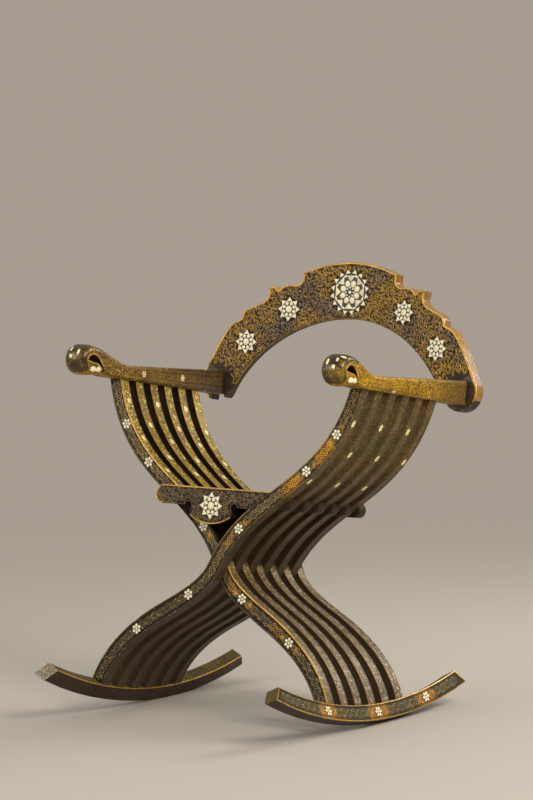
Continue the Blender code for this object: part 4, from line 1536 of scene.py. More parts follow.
@dataclass(frozen=True)
class RockerShape:
    """The arc and the canted section of both rockers."""

    width: float = 0.031
    depth: float = 0.0345
    radius: float = 1.01
    top_radius: float = 1.0
    low_point: float = 0.1
    front: float = -0.175
    rear: float = 0.515
    toe: float = 0.026
    tread: float = 0.008
    flat_angle: float = math.radians(2.75)
    flats_front: int = 11
    flats_rear: int = 7
    edge: float = 0.002
    border: float = 0.0042
    hollow: float = 0.0011
    wall: float = 0.0006
    end_room: float = 0.002
    least_step: float = 0.0003

    def top(self, y: float) -> float:
        """How far the upper side rises above its lowest level at a Y."""
        return self.top_radius - math.sqrt(self.top_radius ** 2 - (y - self.low_point) ** 2)

    def top_line(self) -> list[Pair]:
        """The corners of the upper side, with one facet under every stave.

        Returns:
            The corners, as Y and height.
        """
        first = -math.ceil(-self.front / SIZES.layer) - 1
        last = math.ceil(self.rear / SIZES.layer) + 1
        stations = [step * SIZES.layer - SIZES.clearance / 2 for step in range(first, last + 1)]
        return [(y, self.top(y)) for y in stations]

    def sole_line(self) -> list[Pair]:
        """The corners between the flats of the sole.

        Returns:
            The corners, as Y and height.
        """
        angles = [FRAME.lean + (step - 0.5) * self.flat_angle - math.pi / 2
                  for step in range(-self.flats_front, self.flats_rear + 2)]
        return [(self.low_point + self.radius * math.cos(a), self.radius + self.radius * math.sin(a)) for a in angles]

    def stations(self) -> list[Pair]:
        """The Y of each section's top and bottom, which differ only at the slanted ends.

        Returns:
            The Y of the top and of the bottom at each section.
        """
        first, last = self.front + self.toe, self.rear - self.toe
        found: list[float] = []
        for y in sorted(y for y, _ in self.sole_line() + self.top_line()
                        if first + self.end_room < y < last - self.end_room):
            if not found or y - found[-1] > self.least_step:
                found.append(y)
        return [(first, self.front)] + [(y, y) for y in found] + [(last, self.rear)]

    def from_leg(self, across: float, along: float, y: float, rise: float) -> Vector:
        """A place by the left foot, from its distance inwards across the leg and up along it.

        Args:
            across: how far inwards, towards the chair's middle.
            along: how far up the leg.
            y: how far back.
            rise: how far the arc raises it.

        Returns:
            The place in the upright frame.
        """
        cosine, sine = math.cos(SIZES.cant), math.sin(SIZES.cant)
        return Vector((across * cosine + along * sine - SIZES.foot_reach, y,
                       along * cosine - across * sine - SIZES.lower_height + rise))

    def foot_rises(self, front: float) -> tuple[float, float]:
        """How far a stave's foot is raised under its front and back faces.

        Args:
            front: the Y of the stave's front face.

        Returns:
            The two rises, front and back.
        """
        ends = (front - SIZES.clearance / 2, front + SIZES.stave_thickness + SIZES.clearance / 2)
        slope = (self.top(ends[1]) - self.top(ends[0])) / (ends[1] - ends[0])
        near, far = (self.top(ends[0]) + slope * (y - ends[0]) + SIZES.seat_gap / math.cos(SIZES.cant)
                     for y in (front, front + SIZES.stave_thickness))
        return near, far


@dataclass
class Rockers:
    """The two rockers, with a carved outer face and a gilt line along its foot."""

    maker: Maker
    shape: RockerShape = field(default_factory=RockerShape)
    rosette_radius: float = 0.0112
    rosettes: tuple[float, ...] = (0.02, 0.2, 0.375)
    wave: float = 0.038
    vine_reach: float = 0.0112
    vine_thick: float = 0.0012
    vine_margin: float = 0.004
    rim_thick: float = 0.0011
    rim_inset: float = 0.0016
    blossoms: Pair = (-0.024, 0.026)
    blossom_reach: float = 0.0105
    blossom_thick: float = 0.0014

    def ring(self, y_top: float, y_bottom: float) -> list[Vector]:
        """The section at one station, leaning where the top and the bottom are not level with each other.

        Args:
            y_top: the Y of the section's top.
            y_bottom: the Y of its bottom.

        Returns:
            The section's points.
        """
        shape = self.shape
        top, bottom = height_on(shape.top_line(), y_top), height_on(shape.sole_line(), y_bottom)
        half, edge, depth = shape.width / 2, shape.edge, shape.depth
        mid = edge * ARRIS_MIDDLE
        tread_in, tread_up = shape.tread * math.cos(SIZES.cant), shape.tread * math.sin(SIZES.cant)
        inset, sink, wall = shape.border, shape.hollow, shape.wall
        walk = ((half - edge, 0.0), (half - mid, -mid), (half, -edge), (half, tread_up - depth),
                (half - tread_in, -depth), (edge - half, -depth), (mid - half, mid - depth), (-half, edge - depth),
                (-half, inset + edge - depth), (sink - half, inset + edge + wall - depth),
                (sink - half, -inset - wall), (-half, -inset), (-half, -edge), (mid - half, -mid), (edge - half, 0.0))
        ring = []
        for across, along in walk:
            share = min(max(-along / depth, 0.0), 1.0)
            ring.append(shape.from_leg(across, along, mix(y_top, y_bottom, share), mix(top, bottom, share)))
        return ring

    def outer_face(self, y: float, up: float, height: float) -> Vector:
        """A place on the sunk outer face, from its Y, its height above the face's middle and how far it is out.

        Args:
            y: the Y.
            up: the height above the face's middle.
            height: how far out it is.

        Returns:
            The place.
        """
        shape = self.shape
        along = up - shape.depth / 2
        share = min(max(-along / shape.depth, 0.0), 1.0)
        rise = mix(height_on(shape.top_line(), y), height_on(shape.sole_line(), y), share)
        return shape.from_leg(shape.hollow - shape.width / 2 - height, along, y, rise)

    def shell(self) -> Shell:
        """The left rocker with its carving.

        Returns:
            The rocker.
        """
        shape = self.shape
        sections = shape.stations()
        first, last = sections[0][0], sections[-1][0]
        finishes = ([Mat.GILT] * 2 + [Mat.BACK] * 3 + [Mat.GILT] * 2 + [Mat.ROCKER_GROUND] * 5 + [Mat.GILT] * 2
                    + [Mat.OLIVE])
        shell = Shell()
        shell.loft([self.ring(*pair) for pair in sections], [pair[0] for pair in sections], finishes, Mat.OLIVE)
        start = first + self.vine_margin
        length = last - self.vine_margin - start
        carving = self.maker.strokes(vine(length, self.vine_reach, self.wave, self.vine_thick))
        shell.wrap(carving, shifted(self.outer_face, start), Mat.ROCKER_RELIEF)
        reach = shape.depth / 2 - shape.edge
        upright = [(0.0, mix(-reach, reach, k / 8)) for k in range(9)]
        for end, sign in ((first, 1), (last, -1)):

            def at_end(u: float, v: float, h: float, end: float = end, sign: int = sign) -> Vector:
                """A place beside the slanted end, from how far along and up it is and how far it stands out."""
                slant = shape.toe * max(0.5 - v / shape.depth, 0.0)
                return self.outer_face(end + sign * (self.rim_inset - slant) + u, v, h + shape.hollow)

            self.maker.ridge(shell, upright, self.rim_thick, at_end, Mat.GILT)
        for y in self.rosettes:
            self.maker.rosette(shell, shifted(self.outer_face, y, 0.0, shape.hollow), self.rosette_radius)
        flowers = [stroke for y in self.rosettes for step in self.blossoms
                   for stroke in blossom((y + step, step * 0.1), self.blossom_reach, self.blossom_thick,
                                         y * 17 + step * 40)]
        shell.wrap(self.maker.strokes(flowers), self.outer_face, Mat.BLOSSOM)
        return shell

    def make(self) -> None:
        """Files both rockers, the left one with a pale front end."""
        shell = self.shell()
        self.maker.file("carved_rocker_right", shell.mirrored(), "left_frame", "rocker_walnut", ["rocker_right"])
        tip = self.shape.front + self.shape.toe + 0.001
        for index, corners in enumerate(shell.faces):
            if shell.finishes[index] is Mat.OLIVE and max(shell.points[corner].y for corner in corners) < tip:
                shell.finishes[index] = Mat.PALE_TIP
        self.maker.file("carved_rocker_left", shell, "right_frame", "rocker_walnut", ["rocker_left"])


# ---------------------------------------------------------------- staves


@dataclass(frozen=True)
class StaveShape:
    """The curve and the section that all staves share, drawn for the right set."""

    slope: float = 0.46
    upper_tangent: float = 0.432
    upper_handles: Pair = (0.828, 0.432)
    lower_tangent: float = 0.362
    lower_handles: Pair = (0.788, 0.42)
    widths: tuple[float, float, float, float] = (0.031, 0.037, 0.033, 0.03)
    arris: float = 0.0014
    border: float = 0.0034
    bevel: float = 0.0008
    hollow: float = 0.0011
    edge_border: float = 0.0034
    edge_hollow: float = 0.0005
    edge_wall: float = 0.0006
    end_reach: float = 0.02
    face_probe: float = 0.003
    edge_probe: float = 0.004
    steps_a_half: int = 44
    coarse_steps: int = 12

    def middle(self, along: float, foot_rise: float) -> Pair:
        """The middle of a stave at -1 (foot) to 0 (pivot) to 1 (arm).

        Args:
            along: how far along it is.
            foot_rise: how far the foot is raised.

        Returns:
            The middle.
        """
        if along >= 0:
            reach, height = SIZES.arm_reach, SIZES.upper_height - SIZES.seat_gap
            tangent, handle = self.upper_tangent, self.upper_handles
        else:
            reach, height = SIZES.foot_reach, SIZES.lower_height - foot_rise
            tangent, handle = self.lower_tangent, self.lower_handles
        x, z = bezier((0.0, 0.0), (self.slope * tangent * height, tangent * height),
                      (handle[0] * reach, handle[1] * height), (reach, height), abs(along))
        return (x, z) if along >= 0 else (-x, -z)

    def section(self, along: float, foot_rise: float) -> tuple[Pair, Pair, float]:
        """A stave's two edges, and how much longer its cut is than its true width.

        Args:
            along: how far along it is.
            foot_rise: how far the foot is raised.

        Returns:
            The two edges and the stretch.
        """
        nudge = 0.5 / self.coarse_steps
        low, high = (self.middle(min(max(along + step, -1.0), 1.0), foot_rise) for step in (-nudge, nudge))
        tilt = math.atan2(high[0] - low[0], high[1] - low[1])
        turn = SIZES.cant * min(max(-2 * along, 0.0), 1.0)
        x, z = self.middle(along, foot_rise)
        stretch = 1 / math.cos(tilt - turn)
        half = height_on(list(zip((-1.0, -0.5, 0.0, 1.0), self.widths)), along) / 2 * stretch
        across = (half * math.cos(turn), -half * math.sin(turn))
        return (x - across[0], z - across[1]), (x + across[0], z + across[1]), stretch

    def sections(self, foot_rise: float) -> list[tuple[Pair, Pair, float]]:
        """The sections from foot to arm."""
        count = self.steps_a_half
        return [self.section(step / count, foot_rise) for step in range(-count, count + 1)]


class StaveLine:
    """One right-hand stave laid out along its length, with places on its face and its edges."""

    def __init__(self, shape: StaveShape, rockers: RockerShape, front: float) -> None:
        """Lays out the sections of a stave whose front face is at Y = front.

        Args:
            shape: the form that all staves share.
            rockers: the form of what the foot stands on.
            front: the Y of the front face.
        """
        self.shape, self.front = shape, front
        self.near, self.far = (shape.sections(rise) for rise in rockers.foot_rises(front))
        middles = [(Vector(a) + Vector(b)) / 2 for a, b, _ in self.near]
        self.runs = [0.0]
        for before, after in zip(middles, middles[1:]):
            self.runs.append(self.runs[-1] + (after - before).length)
        self.heights = [middle.y for middle in middles]
        self.length = self.runs[-1]

    def at(self, run: float, depth: float) -> tuple[Vector, Vector, float]:
        """The two edges and the stretch at a distance from the foot and a share of the thickness.

        Args:
            run: the distance from the foot.
            depth: the share of the thickness.

        Returns:
            The two edges and the stretch.
        """
        index = min(max(bisect.bisect_right(self.runs, run), 1), len(self.runs) - 1)
        share = (run - self.runs[index - 1]) / (self.runs[index] - self.runs[index - 1])
        ends = []
        for edge in (0, 1):
            near = Vector(self.near[index - 1][edge]).lerp(Vector(self.near[index][edge]), share)
            far = Vector(self.far[index - 1][edge]).lerp(Vector(self.far[index][edge]), share)
            ends.append(near.lerp(far, depth))
        return ends[0], ends[1], mix(self.near[index - 1][2], self.near[index][2], share)

    def run_at(self, height: float) -> float:
        """How far from the foot the stave's middle reaches a height above the pivot."""
        return height_on(list(zip(self.heights, self.runs)), height)

    def on_face(self, run: float, across: float, height: float) -> Vector:
        """A place on the sunk front face, from its distance from the foot, across and above the hollow.

        Across is square to the stave's run, and turns to lie along the end cuts close to the ends.

        Args:
            run: the distance from the foot.
            across: how far across it is.
            height: how far above the hollow it is.

        Returns:
            The place.
        """
        probe = self.shape.face_probe
        (inner, outer, stretch), low, high = (self.at(run + step, 0.0) for step in (0.0, -probe, probe))
        run_way = (high[0] + high[1] - low[0] - low[1]).normalized()
        level = (outer - inner).normalized() * stretch
        squareness = min(max(min(run, self.length - run) / self.shape.end_reach, 0.0), 1.0)
        place = (inner + outer) / 2 + level.lerp(Vector((run_way.y, -run_way.x)), squareness) * across
        return Vector((place.x, self.front + self.shape.hollow - height, place.y))

    def on_edge(self, edge: int, run: float, deep: float, height: float) -> Vector:
        """A place on one edge, from its distance from the foot, from the edge's middle and above it.

        Args:
            edge: which edge.
            run: the distance from the foot.
            deep: the distance from the edge's middle.
            height: how far above the edge it is.

        Returns:
            The place.
        """
        probe = self.shape.edge_probe
        here, ahead, behind = (self.at(run + step, 0.5)[edge] for step in (0.0, probe, -probe))
        along = (ahead - behind).normalized()
        outwards = Vector((along.y, -along.x)) * (1 if edge else -1)
        place = here + outwards * height
        return Vector((place.x, self.front + SIZES.stave_thickness / 2 + deep, place.y))

    def ring(self, index: int) -> list[Vector]:
        """The section at one station: two panelled faces and two panelled edges with eased arrises.

        Args:
            index: which station.

        Returns:
            The section's points.
        """
        shape, thick = self.shape, SIZES.stave_thickness
        r, b, c, g = shape.arris, shape.border, shape.border + shape.bevel, shape.hollow
        e, f, s, m = shape.edge_border, shape.edge_border + shape.edge_wall, shape.edge_hollow, r * ARRIS_MIDDLE
        # Each corner is measured from an edge (0 or 1) and a face (0 in front, 1 behind): how far across and deep.
        walk = [(0, 0, r, 0), (0, 0, b, 0), (0, 0, c, g), (1, 0, c, g), (1, 0, b, 0), (1, 0, r, 0), (1, 0, m, m),
                (1, 0, 0, r), (1, 0, 0, e), (1, 0, s, f), (1, 1, s, f), (1, 1, 0, e), (1, 1, 0, r), (1, 1, m, m),
                (1, 1, r, 0), (1, 1, b, 0), (1, 1, c, g / 2), (0, 1, c, g / 2), (0, 1, b, 0), (0, 1, r, 0),
                (0, 1, m, m), (0, 1, 0, r), (0, 1, 0, e), (0, 1, s, f), (0, 0, s, f), (0, 0, 0, e), (0, 0, 0, r),
                (0, 0, m, m)]
        ring = []
        for edge, face, across, deep in walk:
            depth = deep / thick if face == 0 else 1 - deep / thick
            ends = [Vector(self.near[index][k]).lerp(Vector(self.far[index][k]), depth) for k in (0, 1)]
            stretch = self.near[index][2]
            place = ends[edge] + (ends[1 - edge] - ends[edge]).normalized() * across * stretch
            ring.append(Vector((place.x, self.front + thick * depth, place.y)))
        return ring


@dataclass
class Staves:
    """The twelve staves, each with a vine in its sunk face and small inlays on its edges."""

    maker: Maker
    rockers: RockerShape
    shape: StaveShape = field(default_factory=StaveShape)
    vine_reach: float = 0.0104
    vine_thick: float = 0.0014
    vine_margin: float = 0.003
    wave: float = 0.038
    pressed: float = 0.55
    rosette_heights: tuple[float, ...] = (0.28, 0.203, 0.078, -0.063, -0.143)
    rosette_radius: float = 0.0115
    inlay_radius: float = 0.0068
    inner_inlays: tuple[tuple[float, ...], ...] = ((0.329, 0.253, 0.188), (0.283, 0.218))
    outer_inlays: tuple[tuple[float, ...], ...] = ((0.303, 0.183), (0.243,))
    inner_drawn_out: float = 1.1
    outer_drawn_out: float = 1.6
    outer_share: float = 0.84
    blossoms: tuple[Pair, ...] = ((0.95, 0.0025), (-1.05, -0.002))
    blossom_gap: float = 0.01
    blossom_reach: float = 0.01
    blossom_thick: float = 0.0013
    left_blossoms_below: float = 0.1
    # Heights of the painted shade on left-hand staves: behind the apron, and on the edges from the crossing up.
    behind_apron: Pair = (0.092, 0.15)
    painted_shade_edges_from: float = 0.012

    def finishes(self, side: Side, number: int) -> list[Mat]:
        """The finish of each strip round a stave's section, with painted light and shade on its back and hidden
        faces.

        Args:
            side: which set the stave is in.
            number: which stave of the set it is.

        Returns:
            The finishes.
        """
        # Hidden faces: on the right painted light, brighter than the edges, with painted shade low down; on the left
        # painted shade.
        hidden = Mat.DIM_FACE if side is Side.RIGHT else Mat.SHADE
        face, sunk = (hidden, hidden) if number else (Mat.BORDER, Mat.HOLLOW)
        inner_border = Mat.GILT if side is Side.LEFT and number == 0 else face
        return ([inner_border, face, sunk] + [face] * 2 + [Mat.OUTER_EDGE] * 7
                + [Mat.SHADE] * 8 + [Mat.INNER_EDGE] * 6 + [Mat.GILT_LINE if number else Mat.GILT] * 2)

    def shell(self, line: StaveLine, side: Side, number: int, carving: Mesh) -> Shell:
        """One stave, drawn for the right-hand set.

        Args:
            line: the stave laid out along its length.
            side: its set.
            number: its place in its set, from the front.
            carving: the flat vine.

        Returns:
            The stave.
        """
        shell = Shell()
        finishes = self.finishes(side, number)
        shell.loft([line.ring(index) for index in range(len(line.runs))], line.runs, finishes, Mat.BACK)
        pressed = 1.0 if side is Side.RIGHT and number == 0 else self.pressed
        shell.wrap(carving, lambda u, v, h: line.on_face(u + self.vine_margin, v, h * pressed),
                   finishes[2] if number else Mat.RELIEF)
        if side is Side.LEFT:
            self.paint_shade_under_seat(shell, line.front)
        if number == 0:
            self.flowers(shell, line, side, pressed)
        for edge, drawn_out, share, inlays in ((0, self.inner_drawn_out, 1.0, self.inner_inlays),
                                               (1, self.outer_drawn_out, self.outer_share, self.outer_inlays)):
            for height in inlays[number % 2]:
                run = line.run_at(height)
                self.maker.rosette(shell, lambda u, v, h, run=run, edge=edge, long=drawn_out: line.on_edge(
                    edge, run + u * long, v, h), self.inlay_radius * share, FLOWER, Mat.GOLD_LEAF)
        return shell

    def flowers(self, shell: Shell, line: StaveLine, side: Side, pressed: float) -> None:
        """Adds the inlaid rosettes and the gilt blossoms beside them to a foremost stave's face.

        Args:
            shell: the stave.
            line: the stave laid out along its length.
            side: its set.
            pressed: the relief's share of its full height.
        """
        for height in self.rosette_heights:
            run = line.run_at(height)
            self.maker.rosette(shell, lambda u, v, h, run=run: line.on_face(
                run + u, v, h * pressed + self.shape.hollow), self.rosette_radius)
        heights = [height for height in self.rosette_heights
                   if (height >= 0.0 if side is Side.RIGHT else height <= self.left_blossoms_below)]
        away = self.rosette_radius + self.blossom_gap
        strokes = [stroke for height in heights for along, across in self.blossoms
                   for stroke in blossom((line.run_at(height) + along * away, across), self.blossom_reach,
                                         self.blossom_thick, height * 31 + along)]
        shell.wrap(self.maker.strokes(strokes), lambda u, v, h: line.on_face(u, v, h * pressed), Mat.BLOSSOM)

    def paint_shade_under_seat(self, shell: Shell, front: float) -> None:
        """Paints shade on a left-hand stave where the seat and the apron lie over it, down to the crossing.

        Args:
            shell: the stave.
            front: the Y of its front face.
        """
        low, high = self.behind_apron
        for index, corners in enumerate(shell.faces):
            places = [shell.points[corner] for corner in corners]
            level = sum(p.z for p in places) / len(places)
            edged = (shell.finishes[index] in (Mat.GILT, Mat.GILT_LINE, Mat.INNER_EDGE)
                     and self.painted_shade_edges_from < level < high)
            if edged or low < level < high and max(p.y for p in places) < front + self.shape.hollow * 2:
                shell.finishes[index] = Mat.SHADE

    def make(self) -> None:
        """Files all twelve staves."""
        length = StaveLine(self.shape, self.rockers, 0.0).length - 2 * self.vine_margin
        carving = self.maker.strokes(vine(length, self.vine_reach, self.wave, self.vine_thick))
        for side in Side:
            for number in range(SIZES.staves_a_side):
                line = StaveLine(self.shape, self.rockers, SIZES.front(side, number))
                shell = self.shell(line, side, number, carving)
                if side is Side.LEFT:
                    shell = shell.mirrored()
                node = "stave_%s_%d" % (side.word, number + 1)
                self.maker.file("carved_" + node, shell, side.word + "_frame", "stave_walnut", [node])


# ---------------------------------------------------------------- seat


@dataclass
class Seat:
    """The interleaved slats and the carved apron in front."""

    maker: Maker
    line: StaveLine
    height: float = 0.155
    depth: float = 0.032
    tail: float = 0.035
    end_gap: float = 0.0005
    apron_drop: float = 0.068
    lobe_width: float = 0.096
    cove_radius: float = 0.0115
    cove_drop: float = 0.036
    cove_spread: float = 0.058
    cusp_drop: float = 0.054
    ease: float = 0.0014
    end_steps: int = 6
    tail_steps: int = 18
    cove_steps: int = 18
    lobe_steps: int = 22
    rosette_radius: float = 0.0285
    rosette_drop: float = 0.034
    rosette_lift: float = 0.0008
    rim_inset: float = 0.0021
    rim_thick: float = 0.0012
    gilt_thick: float = 0.0016
    curls: CurlField = CurlField(0.0026, 0.0032, 0.0088, 0.005, 0.0013, 0.0062, 0.8, 11)

    def edges_at(self, height: float) -> list[float]:
        """Where a right stave's two edges are at a height above the pivot.

        Args:
            height: the height above the pivot.

        Returns:
            The X of the edges.
        """
        found = []
        for edge in (0, 1):
            points = [section[edge] for section in self.line.near]
            found.append(height_on([(z, x) for x, z in points], height))
        return found

    def rod(self) -> Pair:
        """Where the right seat rod crosses the staves, as X and Z."""
        height = self.height - self.depth / 2
        return sum(self.edges_at(height)) / 2, height

    def end_cut(self) -> list[Pair]:
        """The free end of a slat, from its top corner down."""
        heights = [self.height - self.depth * step / self.end_steps for step in range(self.end_steps + 1)]
        return [(self.edges_at(z)[0] - self.end_gap, z) for z in heights]

    def tail_round(self) -> list[Pair]:
        """The rounded end past the seat rod, from its underside round to its top.

        Returns:
            The line's points.
        """
        rod_x, rod_z = self.rod()
        radius = self.depth / 2
        centre = (-(rod_x + self.tail - radius), rod_z)
        return arc(centre, radius, -math.pi / 2, -3 * math.pi / 2, self.tail_steps)

    def underside(self) -> list[Pair]:
        """The apron's lower edge from right to left: cove, cusp, lobe, cusp, cove.

        Returns:
            The line's points.
        """
        right_end = self.edges_at(self.height)[0] - self.end_gap
        middle = (right_end + self.tail_round()[0][0] - self.depth / 2) / 2
        cove_z = self.height - self.cove_drop
        mouth = math.asin((self.height - self.depth - cove_z) / self.cove_radius)
        half = self.lobe_width / 2
        lobe_z = self.height - self.apron_drop
        sag = self.height - self.cusp_drop - lobe_z
        radius = (half ** 2 + sag ** 2) / (2 * sag)
        spread = math.asin(half / radius)
        right = arc((self.cove_spread, cove_z), self.cove_radius, mouth, math.pi * 7 / 6, self.cove_steps)
        left = [(-x, z) for x, z in reversed(right)]
        lobe = arc((0.0, lobe_z + radius), radius, -math.pi / 2 + spread, -math.pi / 2 - spread, self.lobe_steps)
        return [(middle + x, z) for x, z in right + lobe + left]

    def outline(self, is_apron: bool) -> list[Pair]:
        """The outline of a left-hand slat or of the apron."""
        return self.end_cut() + (self.underside() if is_apron else []) + self.tail_round()

    def apron_carving(self, shell: Shell, front: float) -> None:
        """Adds the curls, the rim with its gilt lines and the rosette to the apron's front.

        Args:
            shell: the apron.
            front: the Y of its front.
        """
        outline = self.outline(is_apron=True)
        middle = sum(x for x, _ in self.underside()) / len(self.underside())
        rosette_z = self.height - self.rosette_drop

        def face(u: float, v: float, h: float) -> Vector:
            """A place on the front, from X, Z and how far it stands out."""
            return Vector((u, front - h, v))

        curls = self.maker.field(self.curls, outline, [((middle, rosette_z), self.rosette_radius)])
        shell.wrap(curls, face, Mat.APRON_RELIEF)
        rim = drawn_in(outline, self.rim_inset, closed=True)
        self.maker.ridge(shell, rim + rim[:1], self.rim_thick, face, Mat.BORDER, 0.9)
        top = [(mix(rim[-1][0], rim[0][0], k / 20), mix(rim[-1][1], rim[0][1], k / 20)) for k in range(21)]
        lobe = len(self.end_cut()) + self.cove_steps + 1
        for points in (top, rim[lobe:lobe + self.lobe_steps + 1], rim[-self.tail_steps - 1:]):
            self.maker.ridge(shell, points, self.gilt_thick, face, Mat.GILT, 1.0)
        self.maker.rosette(shell, shifted(face, middle, rosette_z, self.rosette_lift), self.rosette_radius, STAR)

    def make(self) -> None:
        """Files the slats and the apron."""
        for side in Side:
            for number in range(SIZES.staves_a_side):
                is_apron = side is Side.LEFT and number == 0
                front = SIZES.front(side.other, number)
                shell = eased(prism(self.outline(is_apron), front, front + SIZES.stave_thickness, facing_front,
                                    Mat.SEAT), self.ease)
                if is_apron:
                    self.apron_carving(shell, front)
                if side is Side.RIGHT:
                    shell = shell.mirrored()
                node = "front_apron" if is_apron else "seat_slat_%s_%d" % (side.word, number + 1)
                self.maker.file("finished_" + node, shell, side.word + "_slats", "seat_walnut", [node])


# ---------------------------------------------------------------- arms


@dataclass
class Arms:
    """The two arms, each rolled into a domed scroll with a curl and an open half-moon eye in front."""

    maker: Maker
    width: float = 0.046
    depth_front: float = 0.03
    depth_rear: float = 0.052
    neck_end: float = 0.04
    setback: float = -0.08
    rise: float = 0.03
    radius: float = 0.032
    scroll_width: float = 0.055
    splay: float = 0.01
    neck_handles: Pair = (0.05, 0.042)
    crease: tuple[Pair, ...] = ((0.78, -0.91), (1.25, -0.75), (1.56, -0.84))
    eye_top: tuple[Pair, ...] = (
        (-0.5, -0.03), (-0.31, 0.22), (0.0, 0.34), (0.375, 0.28), (0.75, 0.03), (1.06, -0.34), (1.25, -0.75))
    eye_mouth: tuple[Pair, ...] = ((1.28, -1.4), (1.16, -1.4))
    eye_under: tuple[Pair, ...] = ((1.156, -0.75), (0.94, -0.44), (0.56, -0.19), (0.06, -0.125))
    spare: float = 0.01
    arm_edge: float = 0.006
    dome_start: float = 0.3
    dome_drop: float = 0.42
    plain_rear: float = 0.374
    depths: tuple[float, ...] = (-1.0, -0.985, -0.95, -0.89, -0.8, -0.66, -0.45, -0.2)
    side_from: float = 0.9
    arm_steps: int = 30
    neck_steps: int = 22
    plain_neck: int = 15
    scroll_steps: int = 44
    plain_scroll: int = 8
    rim_inset: float = 0.0018
    rim_thick: float = 0.002
    probe: float = 0.09
    ball_plates: tuple[tuple[float, float, tuple[Pair, ...]], ...] = (
        (0.86, 0.81, ((-0.0065, -0.0035), (-0.002, 0.0025), (0.006, 0.004), (0.003, -0.001))),
        (0.4, 0.62, ((-0.002, -0.0045), (-0.0025, 0.003), (0.0015, 0.005), (0.0025, -0.003))),
        (0.2, 0.15, ((-0.0035, -0.003), (-0.003, 0.003), (0.0025, 0.0045), (0.003, -0.003))),
        (-0.35, 0.45, ((-0.003, -0.006), (-0.002, 0.005), (0.003, 0.006), (0.002, -0.005))))
    lip: tuple[Pair, ...] = (
        (-0.0092, -0.0042), (-0.0058, 0.004), (0.0022, 0.0054), (0.009, 0.0024), (0.0058, -0.0048))
    lip_places: tuple[Pair, ...] = ((0.1, -0.58), (0.66, -0.56))
    plate_rows: tuple[Pair, ...] = ((1.0, -0.0006), (1.0, 0.0003), (0.92, 0.0005), (0.6, 0.0005), (0.3, 0.0005))
    side_inlays: tuple[tuple[bool, float, Pair], ...] = ((True, 0.26, (0.102, 0.233)), (False, 0.5, (0.091, 0.227)))
    inlay_radius: float = 0.0078
    lines_from: float = 0.012
    lines_gap: float = 0.004
    line_levels: Pair = (0.2, 0.8)
    line_thick: float = 0.001
    vine_gap: float = 0.03
    vine_reach: float = 0.0085
    vine_thick: float = 0.0009
    vine_draw: float = 1.15
    wave: float = 0.036
    tree: BVHTree | None = None

    def outline(self) -> tuple[list[Pair], list[Mat]]:
        """The arm from the side, as Y and height above its underside, and the finish of each span.

        Returns:
            The outline and the finishes.
        """
        centre = (self.setback, self.rise)
        scroll_top = (self.setback, self.rise + self.radius)
        foot = (self.neck_end, self.depth_front)
        neck = [bezier(foot, (foot[0] - self.neck_handles[1], foot[1]),
                       (scroll_top[0] + self.neck_handles[0], scroll_top[1]), scroll_top, k / self.neck_steps)
                for k in range(self.neck_steps)]
        scroll = arc(centre, self.radius, math.pi / 2, 3 * math.pi / 2, self.scroll_steps)
        crease = smooth_line([scroll[-1]] + [(centre[0] + u * self.radius, centre[1] + v * self.radius)
                                             for u, v in self.crease], {1}, 5)[1:]
        steps = self.arm_steps
        start = self.setback + 2 * self.radius
        lower = [(mix(start, SIZES.arm_rear, k / steps), 0.0) for k in range(steps)]
        upper = [(mix(SIZES.arm_rear, foot[0], k / steps), mix(self.depth_rear, self.depth_front, k / steps))
                 for k in range(steps)]
        line = lower + [(SIZES.arm_rear, 0.0)] + upper + neck + scroll + crease
        rolled = len(neck) - self.plain_neck + len(scroll) - self.plain_scroll
        finishes = ([Mat.ARM] * steps + [Mat.BACK] + [Mat.ARM_TOP] * (steps + self.plain_neck)
                    + [Mat.BALL] * rolled + [Mat.ARM] * (self.plain_scroll + len(crease)))
        return line, finishes

    def depth_at(self, y: float) -> float:
        """How deep the straight arm is at a Y, and no less than at its neck."""
        share = max(y - self.neck_end, 0.0) / (SIZES.arm_rear - self.neck_end)
        return mix(self.depth_front, self.depth_rear, share)

    def forwardness(self, y: float) -> float:
        """Zero along the straight arm and one at the scroll, eased at both ends."""
        share = min(max((self.neck_end - y) / (self.neck_end - self.setback), 0.0), 1.0)
        return share * share * (3 - 2 * share)

    def row(self, depth: float, outline: Sequence[Pair]) -> list[Vector]:
        """The outline at one depth, -1 inner to 1 outer: the arm's edges round over and the scroll is a ball.

        Args:
            depth: how far across the arm it is.
            outline: the arm's outline.

        Returns:
            The row's points.
        """
        domed = max((abs(depth) - self.dome_start) / (1 - self.dome_start), 0.0)
        ball = 1 - self.dome_drop * (1 - math.sqrt(1 - min(domed, 1.0) ** 2))
        row = []
        for index, (y, v) in enumerate(outline):
            forward = self.forwardness(y)
            half = mix(self.width, self.scroll_width, forward) / 2
            past = min(max((abs(depth) * half - (half - self.arm_edge)) / self.arm_edge, 0.0), 1.0)
            inset = self.arm_edge * (1 - math.sqrt(max(1 - past * past, 0.0))) * (1 - forward)
            before, after = Vector(outline[index - 1]), Vector(outline[(index + 1) % len(outline)])
            here = Vector((y, v))
            sides = [Vector((-d.y, d.x)).normalized() for d in (here - before, after - here)]
            normal = (sides[0] + sides[1]).normalized()
            centre = Vector((self.setback, self.rise))
            place = centre + (here - centre) * mix(1.0, ball, forward)
            place += normal * inset / max(normal.dot(sides[0]), 0.6)
            middle = SIZES.arm_reach + self.splay * forward
            row.append(Vector((middle + depth * half, place.x, SIZES.upper_height + place.y)))
        return row

